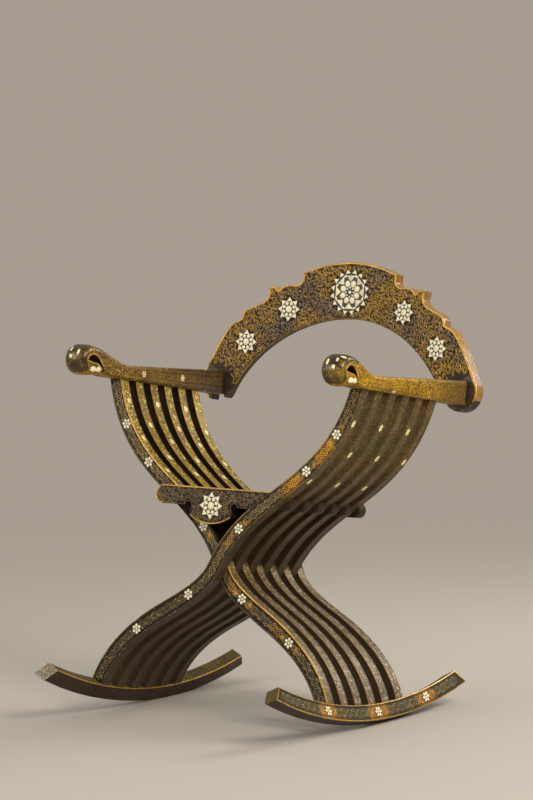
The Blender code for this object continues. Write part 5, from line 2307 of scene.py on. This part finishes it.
    def bare(self) -> Shell:
        """The right arm before its eye is cut.

        Returns:
            The arm.
        """
        outline, finishes = self.outline()
        depths = [*self.depths, 0.0, *(-depth for depth in reversed(self.depths))]
        shell = Shell()
        rows = [[shell.point(p, (p.y, depth)) for p in self.row(depth, outline)] for depth in depths]
        for depth, beyond, row, after in zip(depths, depths[1:], rows, rows[1:]):
            side = Mat.ARM if depth > 0 else Mat.ARM_INNER
            is_side = abs(depth + beyond) / 2 > self.side_from
            shell.strip(row, after, [
                Mat.BACK if y > self.plain_rear else side if is_side and finish is not Mat.BALL else finish
                for (y, _), finish in zip(outline, finishes)])
        self.sides(shell, rows, outline)
        return shell

    def sides(self, shell: Shell, rows: list[list[int]], outline: Sequence[Pair]) -> None:
        """Closes both sides, with the plain rear end apart from the rest.

        Args:
            shell: the arm.
            rows: the points' indices at each depth.
            outline: the arm's outline.
        """
        forward = [k for k, (y, _) in enumerate(outline) if y <= self.plain_rear]
        low = max(k for k in forward if k <= self.arm_steps)
        high = min(k for k in forward if k > self.arm_steps)
        for row, finish in ((rows[0], Mat.ARM_INNER), (rows[-1], Mat.ARM)):
            shell.face(row[low:high + 1], Mat.BACK)
            shell.face(row[high:] + row[:low + 1], finish)

    def side_face(self, outer: bool) -> Place:
        """A place on one side of the arm, from forward distance, height and how far it stands out.

        Args:
            outer: whether the side is the outer one.

        Returns:
            The places.
        """
        sign = 1 if outer else -1
        far = SIZES.arm_reach + sign * self.scroll_width * 2

        def place(u: float, v: float, h: float) -> Vector:
            """Where a line across the arm meets it, or the plain side past its outline.

            Args:
                u: how far forward or back it is.
                v: how far up it is.
                h: how far it stands out.

            Returns:
                The place.
            """
            y, z = self.setback + u, SIZES.upper_height + self.rise + v
            hit, normal, _, _ = self.tree.ray_cast(Vector((far, y, z)), Vector((-sign, 0.0, 0.0)))
            if hit:
                return hit + normal * (h if normal.x * sign > 0 else -h)
            return Vector((SIZES.arm_reach + sign * (self.width / 2 + h), y, z))

        return place

    def on_ball(self, turn: float, tip: float) -> Place:
        """A place on the front of the ball, from across, up and how far it stands out.

        Args:
            turn: how far round to the outside the middle of the places lies, from straight ahead.
            tip: how far up it lies.

        Returns:
            The places.
        """
        centre = Vector((SIZES.arm_reach + self.splay, self.setback, SIZES.upper_height + self.rise))
        out = Vector((math.sin(turn) * math.cos(tip), -math.cos(turn) * math.cos(tip), math.sin(tip)))
        across = Vector((math.cos(turn), math.sin(turn), 0.0))
        up = out.cross(across) * -1

        def place(u: float, v: float, h: float) -> Vector:
            """Where a line towards the ball meets it, or the round form past its outline.

            Args:
                u: how far across it is.
                v: how far up it is.
                h: how far it stands out.

            Returns:
                The place.
            """
            beside = centre + across * u + up * v
            hit, normal, _, _ = self.tree.ray_cast(beside + out * self.probe, -out)
            return hit + normal * h if hit else beside + out * (self.radius + h)

        return place

    def inlays(self, shell: Shell) -> None:
        """Lets pale plates into the front of the ball and the end of the curl, and small ones along the sides.

        Args:
            shell: the arm.
        """
        plates = [(self.on_ball(turn, tip), outline) for turn, tip, outline in self.ball_plates]
        for outer in (True, False):
            face = self.side_face(outer)
            for forward, up in self.lip_places:
                plates.append((shifted(face, forward * self.radius, up * self.radius), self.lip))
        for place, outline in plates:
            ring = smooth_line([*outline, outline[0]], set(), 4)[:-1]
            plate = plate_mesh(ring, self.plate_rows)
            shell.wrap(plate, place, Mat.BONE)
            bpy.data.meshes.remove(plate)
        for outer, share, places in self.side_inlays:
            face = self.side_face(outer)
            for y in places:
                place = shifted(face, y - self.setback, share * self.depth_at(y) - self.rise)
                self.maker.rosette(shell, place, self.inlay_radius, FLOWER, Mat.GOLD_LEAF)

    def lines(self, shell: Shell) -> None:
        """Adds the fine raised lines and a small vine along both sides of the straight arm.

        Args:
            shell: the arm.
        """
        start, end = self.lines_from, self.plain_rear - self.lines_gap
        stations = [mix(start, end, k / 40) for k in range(41)]
        for outer in (True, False):
            face = self.side_face(outer)
            for level in self.line_levels:
                points = [(y - self.setback, self.depth_at(y) * level - self.rise) for y in stations]
                self.maker.ridge(shell, points, self.line_thick, face, Mat.ARM_TOP)
            length = end - start - self.vine_gap
            carving = self.maker.strokes(vine(length, self.vine_reach, self.wave, self.vine_thick))

            def place(u: float, v: float, h: float, face: Place = face) -> Vector:
                """A place midway between the lines, drawn up or down with the arm's depth.

                Args:
                    u: how far along it is.
                    v: how far up it is.
                    h: how far it stands out.
                    face: the places on the side.

                Returns:
                    The place.
                """
                y = start + self.vine_gap + u
                deep = self.depth_at(y)
                return face(y - self.setback, deep / 2 - self.rise + v * deep / self.depth_rear * self.vine_draw, h)

            shell.wrap(carving, place, Mat.ARM_TOP)
            bpy.data.meshes.remove(carving)

    def make(self) -> None:
        """Files both arms."""
        scroll_z = SIZES.upper_height + self.rise
        top, mouth, under = ([(self.setback + u * self.radius, scroll_z + v * self.radius) for u, v in part]
                             for part in (self.eye_top, self.eye_mouth, self.eye_under))
        eye = smooth_line(top, set(), 4) + mouth + smooth_line(under, set(), 4)
        reach = self.scroll_width / 2 + self.splay + self.spare
        # The eye's cut faces take the near-black inlay bed finish: painted shadow inside the eye.
        cutter = prism(eye, SIZES.arm_reach - reach, SIZES.arm_reach + reach + self.splay,
                       lambda u, v, depth: Vector((depth, u, v)), Mat.INLAY_BED)
        bare = self.bare()
        self.tree = BVHTree.FromPolygons(bare.points, bare.faces)
        shell = cut(bare, [cutter], Mat.INLAY_BED)
        self.inlays(shell)
        rim = [(u * self.radius, v * self.radius) for u, v in self.eye_under + self.eye_top[:-1]]
        rim = drawn_in(smooth_line(rim, {len(under)}, 4), self.rim_inset, closed=False)
        for outer in (True, False):
            self.maker.ridge(shell, rim, self.rim_thick, self.side_face(outer), Mat.GILT)
        self.lines(shell)
        self.maker.file("scrolled_arm_right", shell, "right_frame", "arm_walnut", ["arm_right"])
        self.maker.file("scrolled_arm_left", shell.mirrored(), "left_frame", "arm_walnut", ["arm_left"])


# ---------------------------------------------------------------- back board


@dataclass
class Crest:
    """The arched back board with stepped mouldings, a field of curls and five rosettes."""

    maker: Maker
    thickness: float = 0.028
    top_rise: float = 0.27
    bow: float = 0.026
    bow_power: float = 1.5
    pin_rise: float = 0.028
    lobe_radius: float = 0.041
    lobe_shares: Pair = (1.5 / 14, 11.5 / 14)
    lobe_steps: int = 30
    spare: float = 0.01
    arch_radius: float = 0.303
    arch_rise: float = 0.148
    outline_shares: tuple[Pair, ...] = (
        (0.0, 1.0), (0.144, 0.985), (0.262, 0.956), (0.384, 0.907), (0.383, 0.87), (0.387, 0.837), (0.406, 0.815),
        (0.432, 0.804), (0.48, 0.806), (0.518, 0.796), (0.547, 0.774), (0.566, 0.752), (0.586, 0.778),
        (0.608, 0.785), (0.646, 0.778), (0.638, 0.741), (0.638, 0.707), (0.653, 0.678), (0.682, 0.652),
        (0.73, 0.626), (0.778, 0.607), (0.813, 0.581), (0.829, 0.552), (0.835, 0.515), (0.864, 0.5),
        (0.899, 0.481), (0.934, 0.444), (0.966, 0.393), (1.005, 0.322), (1.05, 0.222), (1.084, 0.15))
    corners: tuple[int, ...] = (3, 11, 14, 23)
    pin_radius: float = 0.007
    notch: Pair = (0.0255, 0.0125)
    arch_chamfer: Pair = (0.009, 0.013)
    arris: float = 0.002
    steps: int = 8
    # How far below the pin the lobe's outer edge stays painted lit.
    painted_lit_drop: float = 0.016
    rosettes: tuple[tuple[float, float, float, Star], ...] = (
        (0.0, 0.606, 0.049, GREAT_STAR), (0.148, 0.565, 0.0265, STAR), (-0.148, 0.565, 0.0265, STAR),
        (0.245, 0.49, 0.0265, STAR), (-0.245, 0.49, 0.0265, STAR))
    rosette_lift: float = 0.0009
    hole_room: float = 0.001
    curls: CurlField = CurlField(0.0054, 0.0036, 0.0096, 0.0054, 0.00122, 0.008, 0.9, 4)
    rim_inset: float = 0.0027
    rim_thick: float = 0.0024
    rim_gap: float = 0.003
    # How far below the pin the rim on the right lobe turns from gilt to the border finish, as painted shadow.
    rim_shadow_drop: float = 0.018
    arch_inset: float = 0.0022
    arch_thick: float = 0.0013

    def pin(self) -> Pair:
        """Where the board turns, as X and Z."""
        return SIZES.arm_reach, SIZES.upper_height + self.pin_rise

    def front(self, x: float) -> float:
        """The Y of the front face, bowed to the back between its flat ends."""
        share = min(abs(x) / (SIZES.arm_reach - self.lobe_radius), 1.0)
        return SIZES.arm_rear + SIZES.seat_gap + self.bow * (1 - share * share) ** self.bow_power

    def arch(self, angle: float) -> Pair:
        """A point of the inner arch."""
        centre_z = self.pin()[1] + self.arch_rise - self.arch_radius
        return self.arch_radius * math.cos(angle), centre_z + self.arch_radius * math.sin(angle)

    def half(self) -> list[tuple[Pair, Pair]]:
        """Pairs of outer and inner points from the middle to where the right lobe starts.

        Returns:
            The pairs.
        """
        outer = [(u * SIZES.arm_reach, self.pin()[1] + v * self.top_rise) for u, v in self.outline_shares]
        mirrored_start = [(-outer[1][0], outer[1][1])] + outer
        fine = smooth_line(mirrored_start, {index + 1 for index in self.corners}, 4)[4:]
        arch_z = self.arch(0.0)[1]
        return [(point, self.arch(math.atan2(point[1] - arch_z, point[0]))) for point in fine]

    def lobe(self) -> list[Pair]:
        """The round end of the board, from its outer side down and round to the arch.

        Returns:
            The line's points.
        """
        centre = self.pin()
        outer, inner = self.half()[-1]
        first = min(math.atan2(outer[1] - centre[1], outer[0] - centre[0]), math.pi / 3)
        last = math.atan2(inner[1] - centre[1], inner[0] - centre[0])
        last = last - 2 * math.pi if last > first else last
        ends = (mix(first, last, share) for share in self.lobe_shares)
        return arc(centre, self.lobe_radius, *ends, self.lobe_steps)

    def edge_line(self) -> list[Pair]:
        """The outer edge from the left lobe's inner corner over the top to the right one's.

        Returns:
            The line's points.
        """
        half = [pair[0] for pair in self.half()]
        right = half + self.lobe()
        return [(-x, z) for x, z in reversed(right[1:])] + right

    def whole(self) -> list[Pair]:
        """The closed outline, clockwise from the left end of the arch over the top."""
        arch = [pair[1] for pair in self.half()]
        return self.edge_line() + list(reversed(arch)) + [(-x, z) for x, z in arch[1:]]

    def column(self, shell: Shell, point: Pair, inwards: Pair, chamfer: Pair | None = None) -> list[int]:
        """Adds the four points of the board's edge: front inset, front, back and back inset.

        Args:
            shell: the board.
            point: the edge's X and Z.
            inwards: a place across the board.
            chamfer: how far the back inset lies inwards and the back lies forwards, if not by the arris.

        Returns:
            The points' indices.
        """
        inset_by, lifted_by = chamfer or (self.arris, self.arris)
        way = (Vector(inwards) - Vector(point)).normalized()
        y = self.front(point[0])
        inset, behind = Vector(point) + way * self.arris, Vector(point) + way * inset_by
        return [shell.point(Vector(place)) for place in (
            (inset.x, self.front(inset.x), inset.y), (point[0], y + self.arris, point[1]),
            (point[0], y + self.thickness - lifted_by, point[1]),
            (behind.x, self.front(behind.x) + self.thickness, behind.y))]

    def board(self) -> Shell:
        """The board as a strip along its arch, with bevelled edges, closed at both round ends.

        Returns:
            The board.
        """
        pairs = [((-o[0], o[1]), (-i[0], i[1])) for o, i in reversed(self.half()[1:])] + self.half()
        shell = Shell()
        inner_steps = range(1, self.steps)
        rings = []
        for outer, inner in pairs:
            start, end = self.column(shell, outer, inner), self.column(shell, inner, outer, self.arch_chamfer)
            front = [self.across(shell, outer, inner, k / self.steps, 0.0) for k in inner_steps]
            back = [self.across(shell, outer, inner, k / self.steps, self.thickness) for k in reversed(inner_steps)]
            rings.append([start[1], start[0]] + front + end + back + [start[3], start[2]])
        finishes = ([Mat.GILT] + [Mat.CREST_GROUND] * self.steps + [Mat.GILT] + [Mat.BACK] * (self.steps + 3)
                    + [Mat.GLOSS])
        for ring, after in zip(rings, rings[1:]):
            shell.strip(ring, after, finishes)
        for sign, ring in ((1, rings[-1]), (-1, rings[0])):
            self.round_end(shell, ring, sign)
        return shell

    def across(self, shell: Shell, outer: Pair, inner: Pair, share: float, deep: float) -> int:
        """A point of the front or back face on the way from the outer to the inner edge."""
        x, z = mix(outer[0], inner[0], share), mix(outer[1], inner[1], share)
        return shell.point(Vector((x, self.front(x) + deep, z)))

    def round_end(self, shell: Shell, ring: list[int], sign: int) -> None:
        """Closes one end of the board with its round lobe.

        Args:
            shell: the board.
            ring: the points' indices of its last section.
            sign: 1 at the right end and -1 at the left.
        """
        pin_x, pin_z = self.pin()
        count = self.steps - 1
        rim = [[ring[1], ring[0], ring[-1], ring[-2]]]
        rim += [self.column(shell, (sign * x, z), (sign * pin_x, pin_z)) for x, z in self.lobe()]
        rim.append(ring[count + 2:count + 6])
        for a, b in zip(rim, rim[1:]):
            corner = shell.points[a[1]]
            # Above the pin on the outer side the lobe's edge is painted lit, with a gilt arris and a glossy side;
            # elsewhere it is painted shade, with a plain border arris and the dark back finish.
            is_painted_lit = abs(corner.x) > pin_x and corner.z > pin_z - self.painted_lit_drop
            sides = (Mat.GILT, Mat.GLOSS, Mat.BACK) if is_painted_lit else (Mat.BORDER, Mat.BACK, Mat.BACK)
            for k, finish in enumerate(sides):
                shell.face((a[k], b[k], b[k + 1], a[k + 1]), finish)
        shell.face([p[0] for p in rim] + ring[count + 1:1:-1], Mat.LOBE)
        shell.face([p[3] for p in rim] + ring[count + 6:-2], Mat.BACK)

    def cutters(self) -> list[Shell]:
        """The pin's hole and the open notch that hooks over the other pin.

        Returns:
            The shapes to take out.
        """
        pin_x, pin_z = self.pin()
        room = self.pin_radius + SIZES.seat_gap
        low, high = SIZES.arm_rear - self.spare, SIZES.arm_rear + self.thickness + self.spare
        hole = arc((pin_x, pin_z), room, 0.0, 2 * math.pi, 32)[:-1]
        seat = arc((-pin_x, pin_z), room, math.pi, 0.0, 20)
        beyond = (self.lobe_radius + self.spare) / self.lobe_radius
        inner, outer = (room + (reach - room) * beyond for reach in self.notch)
        mouth = pin_z - self.lobe_radius - self.spare
        return [prism(outline, low, high, facing_front, Mat.BACK)
                for outline in (hole, seat + [(inner - pin_x, mouth), (-pin_x - outer, mouth)])]

    def face(self, u: float, v: float, h: float) -> Vector:
        """A place on the front face, from X, Z and how far it stands out."""
        return Vector((u, self.front(u) - h, v))

    def carving(self, shell: Shell) -> None:
        """Adds the field of curls, the rims and the rosettes.

        Args:
            shell: the board.
        """
        pin_x, pin_z = self.pin()
        half = [(max(x, 0.0), z) for x, z in self.whole() if x >= -1e-9]
        holes = [((x, z), reach + self.hole_room) for x, z, reach, _ in self.rosettes]
        holes.append(((pin_x, pin_z), self.lobe_radius + self.hole_room))
        curls = self.maker.field(self.curls, half, holes)
        for sign in (1, -1):
            shell.wrap(curls, lambda u, v, h, sign=sign: self.face(sign * u, v, h), Mat.CREST_RELIEF)
        bpy.data.meshes.remove(curls)
        edge = drawn_in(self.edge_line(), -self.rim_inset, closed=False)
        notch = (-pin_x - self.notch[1] - self.rim_gap, self.notch[0] + self.rim_gap - pin_x)
        mouth = [k for k, (x, z) in enumerate(edge) if z < pin_z and notch[0] < x < notch[1]]
        # The rim on the right lobe, below the arm, takes the plain border finish instead of gilt: painted shadow.
        bottom = next(k for k, (x, z) in enumerate(edge) if x > 0 and z < pin_z - self.rim_shadow_drop)
        for part, finish in ((edge[:mouth[0]], Mat.GILT), (edge[mouth[-1] + 1:bottom + 1], Mat.GILT),
                             (edge[bottom:], Mat.BORDER)):
            if len(part) > 1:
                self.maker.ridge(shell, part, self.rim_thick, self.face, finish, 0.75, 8)
        arch = [inner for _, inner in self.half()]
        arch = drawn_in([(-x, z) for x, z in reversed(arch[1:])] + arch, self.arch_inset, closed=False)
        self.maker.ridge(shell, arch, self.arch_thick, self.face, Mat.BORDER)
        for x, z, reach, star in self.rosettes:
            self.maker.rosette(shell, shifted(self.face, x, z, self.rosette_lift), reach, star)

    def make(self) -> None:
        """Files the board."""
        shell = cut(self.board(), self.cutters(), Mat.BACK)
        self.carving(shell)
        self.maker.file("carved_crest_board", shell, "crest", "crest_walnut", ["crest_board"])


@dataclass
class Pins:
    """The pins behind the board, turned with a neck and a domed head, and the rods that stay as they are."""

    maker: Maker
    crest: Crest
    depth: float = 0.028
    head: float = 0.011
    head_length: float = 0.006
    dome_start: float = 0.45
    tip: float = 0.001
    eased: Pair = (0.0008, 0.0012)
    sides: int = 40

    def shell(self) -> Shell:
        """The right-hand pin.

        Returns:
            The pin.
        """
        centre = self.crest.pin()
        start = SIZES.arm_rear - self.depth
        back = SIZES.arm_rear + self.crest.thickness + 2 * SIZES.seat_gap
        r, tip = self.crest.pin_radius, self.tip
        dome = [(back + self.head_length * mix(self.dome_start, 1.0, math.sin(a)), mix(tip, self.head, math.cos(a)))
                for a in (math.pi / 2 * k / 8 for k in range(9))]
        profile = [(start, r - tip), (start + tip, r), (back, r), (back, self.head - self.eased[1]),
                   (back + self.eased[0], self.head)] + dome
        rings = [[Vector((x, y, z)) for x, z in arc(centre, reach, 0.0, 2 * math.pi, self.sides)[:-1]]
                 for y, reach in profile]
        shell = Shell()
        shell.loft(rings, [y for y, _ in profile], [Mat.PIN] * self.sides, Mat.PIN)
        return shell

    def make(self) -> None:
        """Files the pins and dresses the rods."""
        shell = self.shell()
        self.maker.file("turned_pivot_pin", shell, "right_frame", "pin_wood", ["crest_pivot_pin"])
        self.maker.file("turned_hook_pin", shell.mirrored(), "left_frame", "pin_wood", ["crest_hook_pin"])
        for node in ("main_pivot_rod", "seat_rod_right", "seat_rod_left"):
            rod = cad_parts[node]
            rod.data.materials.clear()
            rod.data.materials.append(self.maker.palette.made[Mat.PIN])


# ---------------------------------------------------------------- studio


@dataclass(frozen=True)
class Studio:
    """The floor, the backdrop's colour, the lamps and the camera."""

    camera_place: Triple = (4.1995, -5.865, 1.242)
    yaw: float = math.radians(35.48)
    pitch: float = math.radians(4.7)
    roll: float = math.radians(0.58)
    lens: float = 157.68
    sensor: float = 36.0
    sight: float = 60.0
    floor_reach: float = 9.0
    backdrop: Colour = (0.385, 0.335, 0.283)
    floor_colour: Colour = (0.52, 0.48, 0.42)
    floor_fade: Pair = (1.0, 3.6)
    floor_dimming: float = 0.97
    floor_roughness: float = 0.85
    floor_shine: float = 0.15
    world_colour: Colour = (1.0, 0.97, 0.93)
    world_strength: float = 0.55
    aim: Triple = (0.0, 0.0, 0.45)
    lamps: tuple[tuple[str, Triple, float, float, Colour], ...] = (
        ("key", (3.2, -1.2, 3.0), 95.0, 1.6, (1.0, 0.94, 0.86)),
        ("fill", (-2.6, -3.4, 2.2), 45.0, 2.4, (0.96, 0.97, 1.0)),
        ("rim", (1.8, 2.8, 2.4), 60.0, 1.4, (1.0, 0.93, 0.84)))

    def camera(self) -> None:
        """Sets up the camera at the photograph's angle."""
        a, p, r = self.yaw, self.pitch, self.roll
        forward = Vector((-math.sin(a) * math.cos(p), math.cos(a) * math.cos(p), -math.sin(p)))
        level = Vector((math.cos(a), math.sin(a), 0.0))
        up = Vector((-math.sin(a) * math.sin(p), math.cos(a) * math.sin(p), math.cos(p)))
        right = level * math.cos(r) - up * math.sin(r)
        upright = level * math.sin(r) + up * math.cos(r)
        turn = Matrix((right, upright, -forward)).transposed().to_4x4()
        data = bpy.data.cameras.new("camera")
        data.lens, data.sensor_width, data.sensor_fit = self.lens, self.sensor, "AUTO"
        data.clip_end = self.sight
        camera = object_of("camera", data)
        camera.matrix_world = Matrix.Translation(self.camera_place) @ turn
        bpy.context.scene.camera = camera

    def floor(self) -> None:
        """Lays a floor that fades into the backdrop's colour all round."""
        builder = bmesh.new()
        bmesh.ops.create_grid(builder, x_segments=8, y_segments=8, size=self.floor_reach)
        mesh = baked("floor", builder)
        floor = object_of("floor", mesh)
        material = bpy.data.materials.new("floor_paper")
        material.use_nodes = True
        sketch = Sketch(material.node_tree)
        shader = material.node_tree.nodes["Principled BSDF"]
        place = sketch.node("ShaderNodeTexCoord").outputs["Object"]
        away = sketch.node("ShaderNodeVectorMath", {"operation": "LENGTH"}, (place,)).outputs["Value"]
        darker = tuple(c * self.floor_dimming for c in self.floor_colour)
        for label, value in (("Base Color", sketch.blend(sketch.noise(place, 3.0), self.floor_colour, darker)),
                             ("Roughness", self.floor_roughness), ("Specular IOR Level", self.floor_shine)):
            sketch.feed(shader.inputs[label], value)
        clear = sketch.node("ShaderNodeBsdfTransparent")
        both = sketch.node("ShaderNodeMixShader", None, (
            sketch.stretch(away, *self.floor_fade), shader.outputs[0], clear.outputs[0]))
        sketch.feed(material.node_tree.nodes["Material Output"].inputs["Surface"], both.outputs[0])
        mesh.materials.append(material)

    def world(self) -> None:
        """Gives the world its soft light, and the backdrop's colour where the camera or a gloss sees it."""
        world = bpy.data.worlds.new("studio")
        bpy.context.scene.world = world
        world.use_nodes = True
        world.node_tree.nodes.clear()
        sketch = Sketch(world.node_tree)
        rays = sketch.node("ShaderNodeLightPath").outputs
        seen = sketch.maths("MAXIMUM", rays["Is Camera Ray"],
                            sketch.maths("MAXIMUM", rays["Is Glossy Ray"], rays["Is Transmission Ray"]))
        soft = sketch.node("ShaderNodeBackground", Color=self.world_colour, Strength=self.world_strength)
        shown = sketch.node("ShaderNodeBackground", Color=self.backdrop, Strength=1.0)
        both = sketch.node("ShaderNodeMixShader", None, (seen, soft.outputs[0], shown.outputs[0]))
        sketch.node("ShaderNodeOutputWorld", Surface=both.outputs[0])

    def lamp(self, name: str, place: Triple, power: float, size: float, colour: Colour) -> None:
        """Hangs one soft square lamp that faces the chair's middle.

        Args:
            name: the lamp's name.
            place: where it hangs.
            power: its strength.
            size: the side of its square.
            colour: its colour.
        """
        data = bpy.data.lights.new(name, "AREA")
        data.energy, data.size, data.color = power, size, colour
        lamp = object_of(name, data)
        aim = Vector(self.aim) - Vector(place)
        lamp.matrix_world = Matrix.Translation(place) @ aim.to_track_quat("-Z", "Y").to_matrix().to_4x4()

    def make(self) -> None:
        """Builds the whole studio."""
        self.camera()
        self.floor()
        self.world()
        for lamp in self.lamps:
            self.lamp(*lamp)
        bpy.context.scene.view_settings.view_transform = "Standard"


def main() -> None:
    """Builds the chair's pieces in order."""
    logging.basicConfig(level=logging.INFO, format="%(message)s")
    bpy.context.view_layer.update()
    maker = Maker()
    rockers = Rockers(maker)
    rockers.make()
    staves = Staves(maker, rockers.shape)
    staves.make()
    Seat(maker, StaveLine(staves.shape, rockers.shape, 0.0)).make()
    Arms(maker).make()
    crest = Crest(maker)
    crest.make()
    Pins(maker, crest).make()
    Studio().make()


if __name__ == "__main__":
    main()
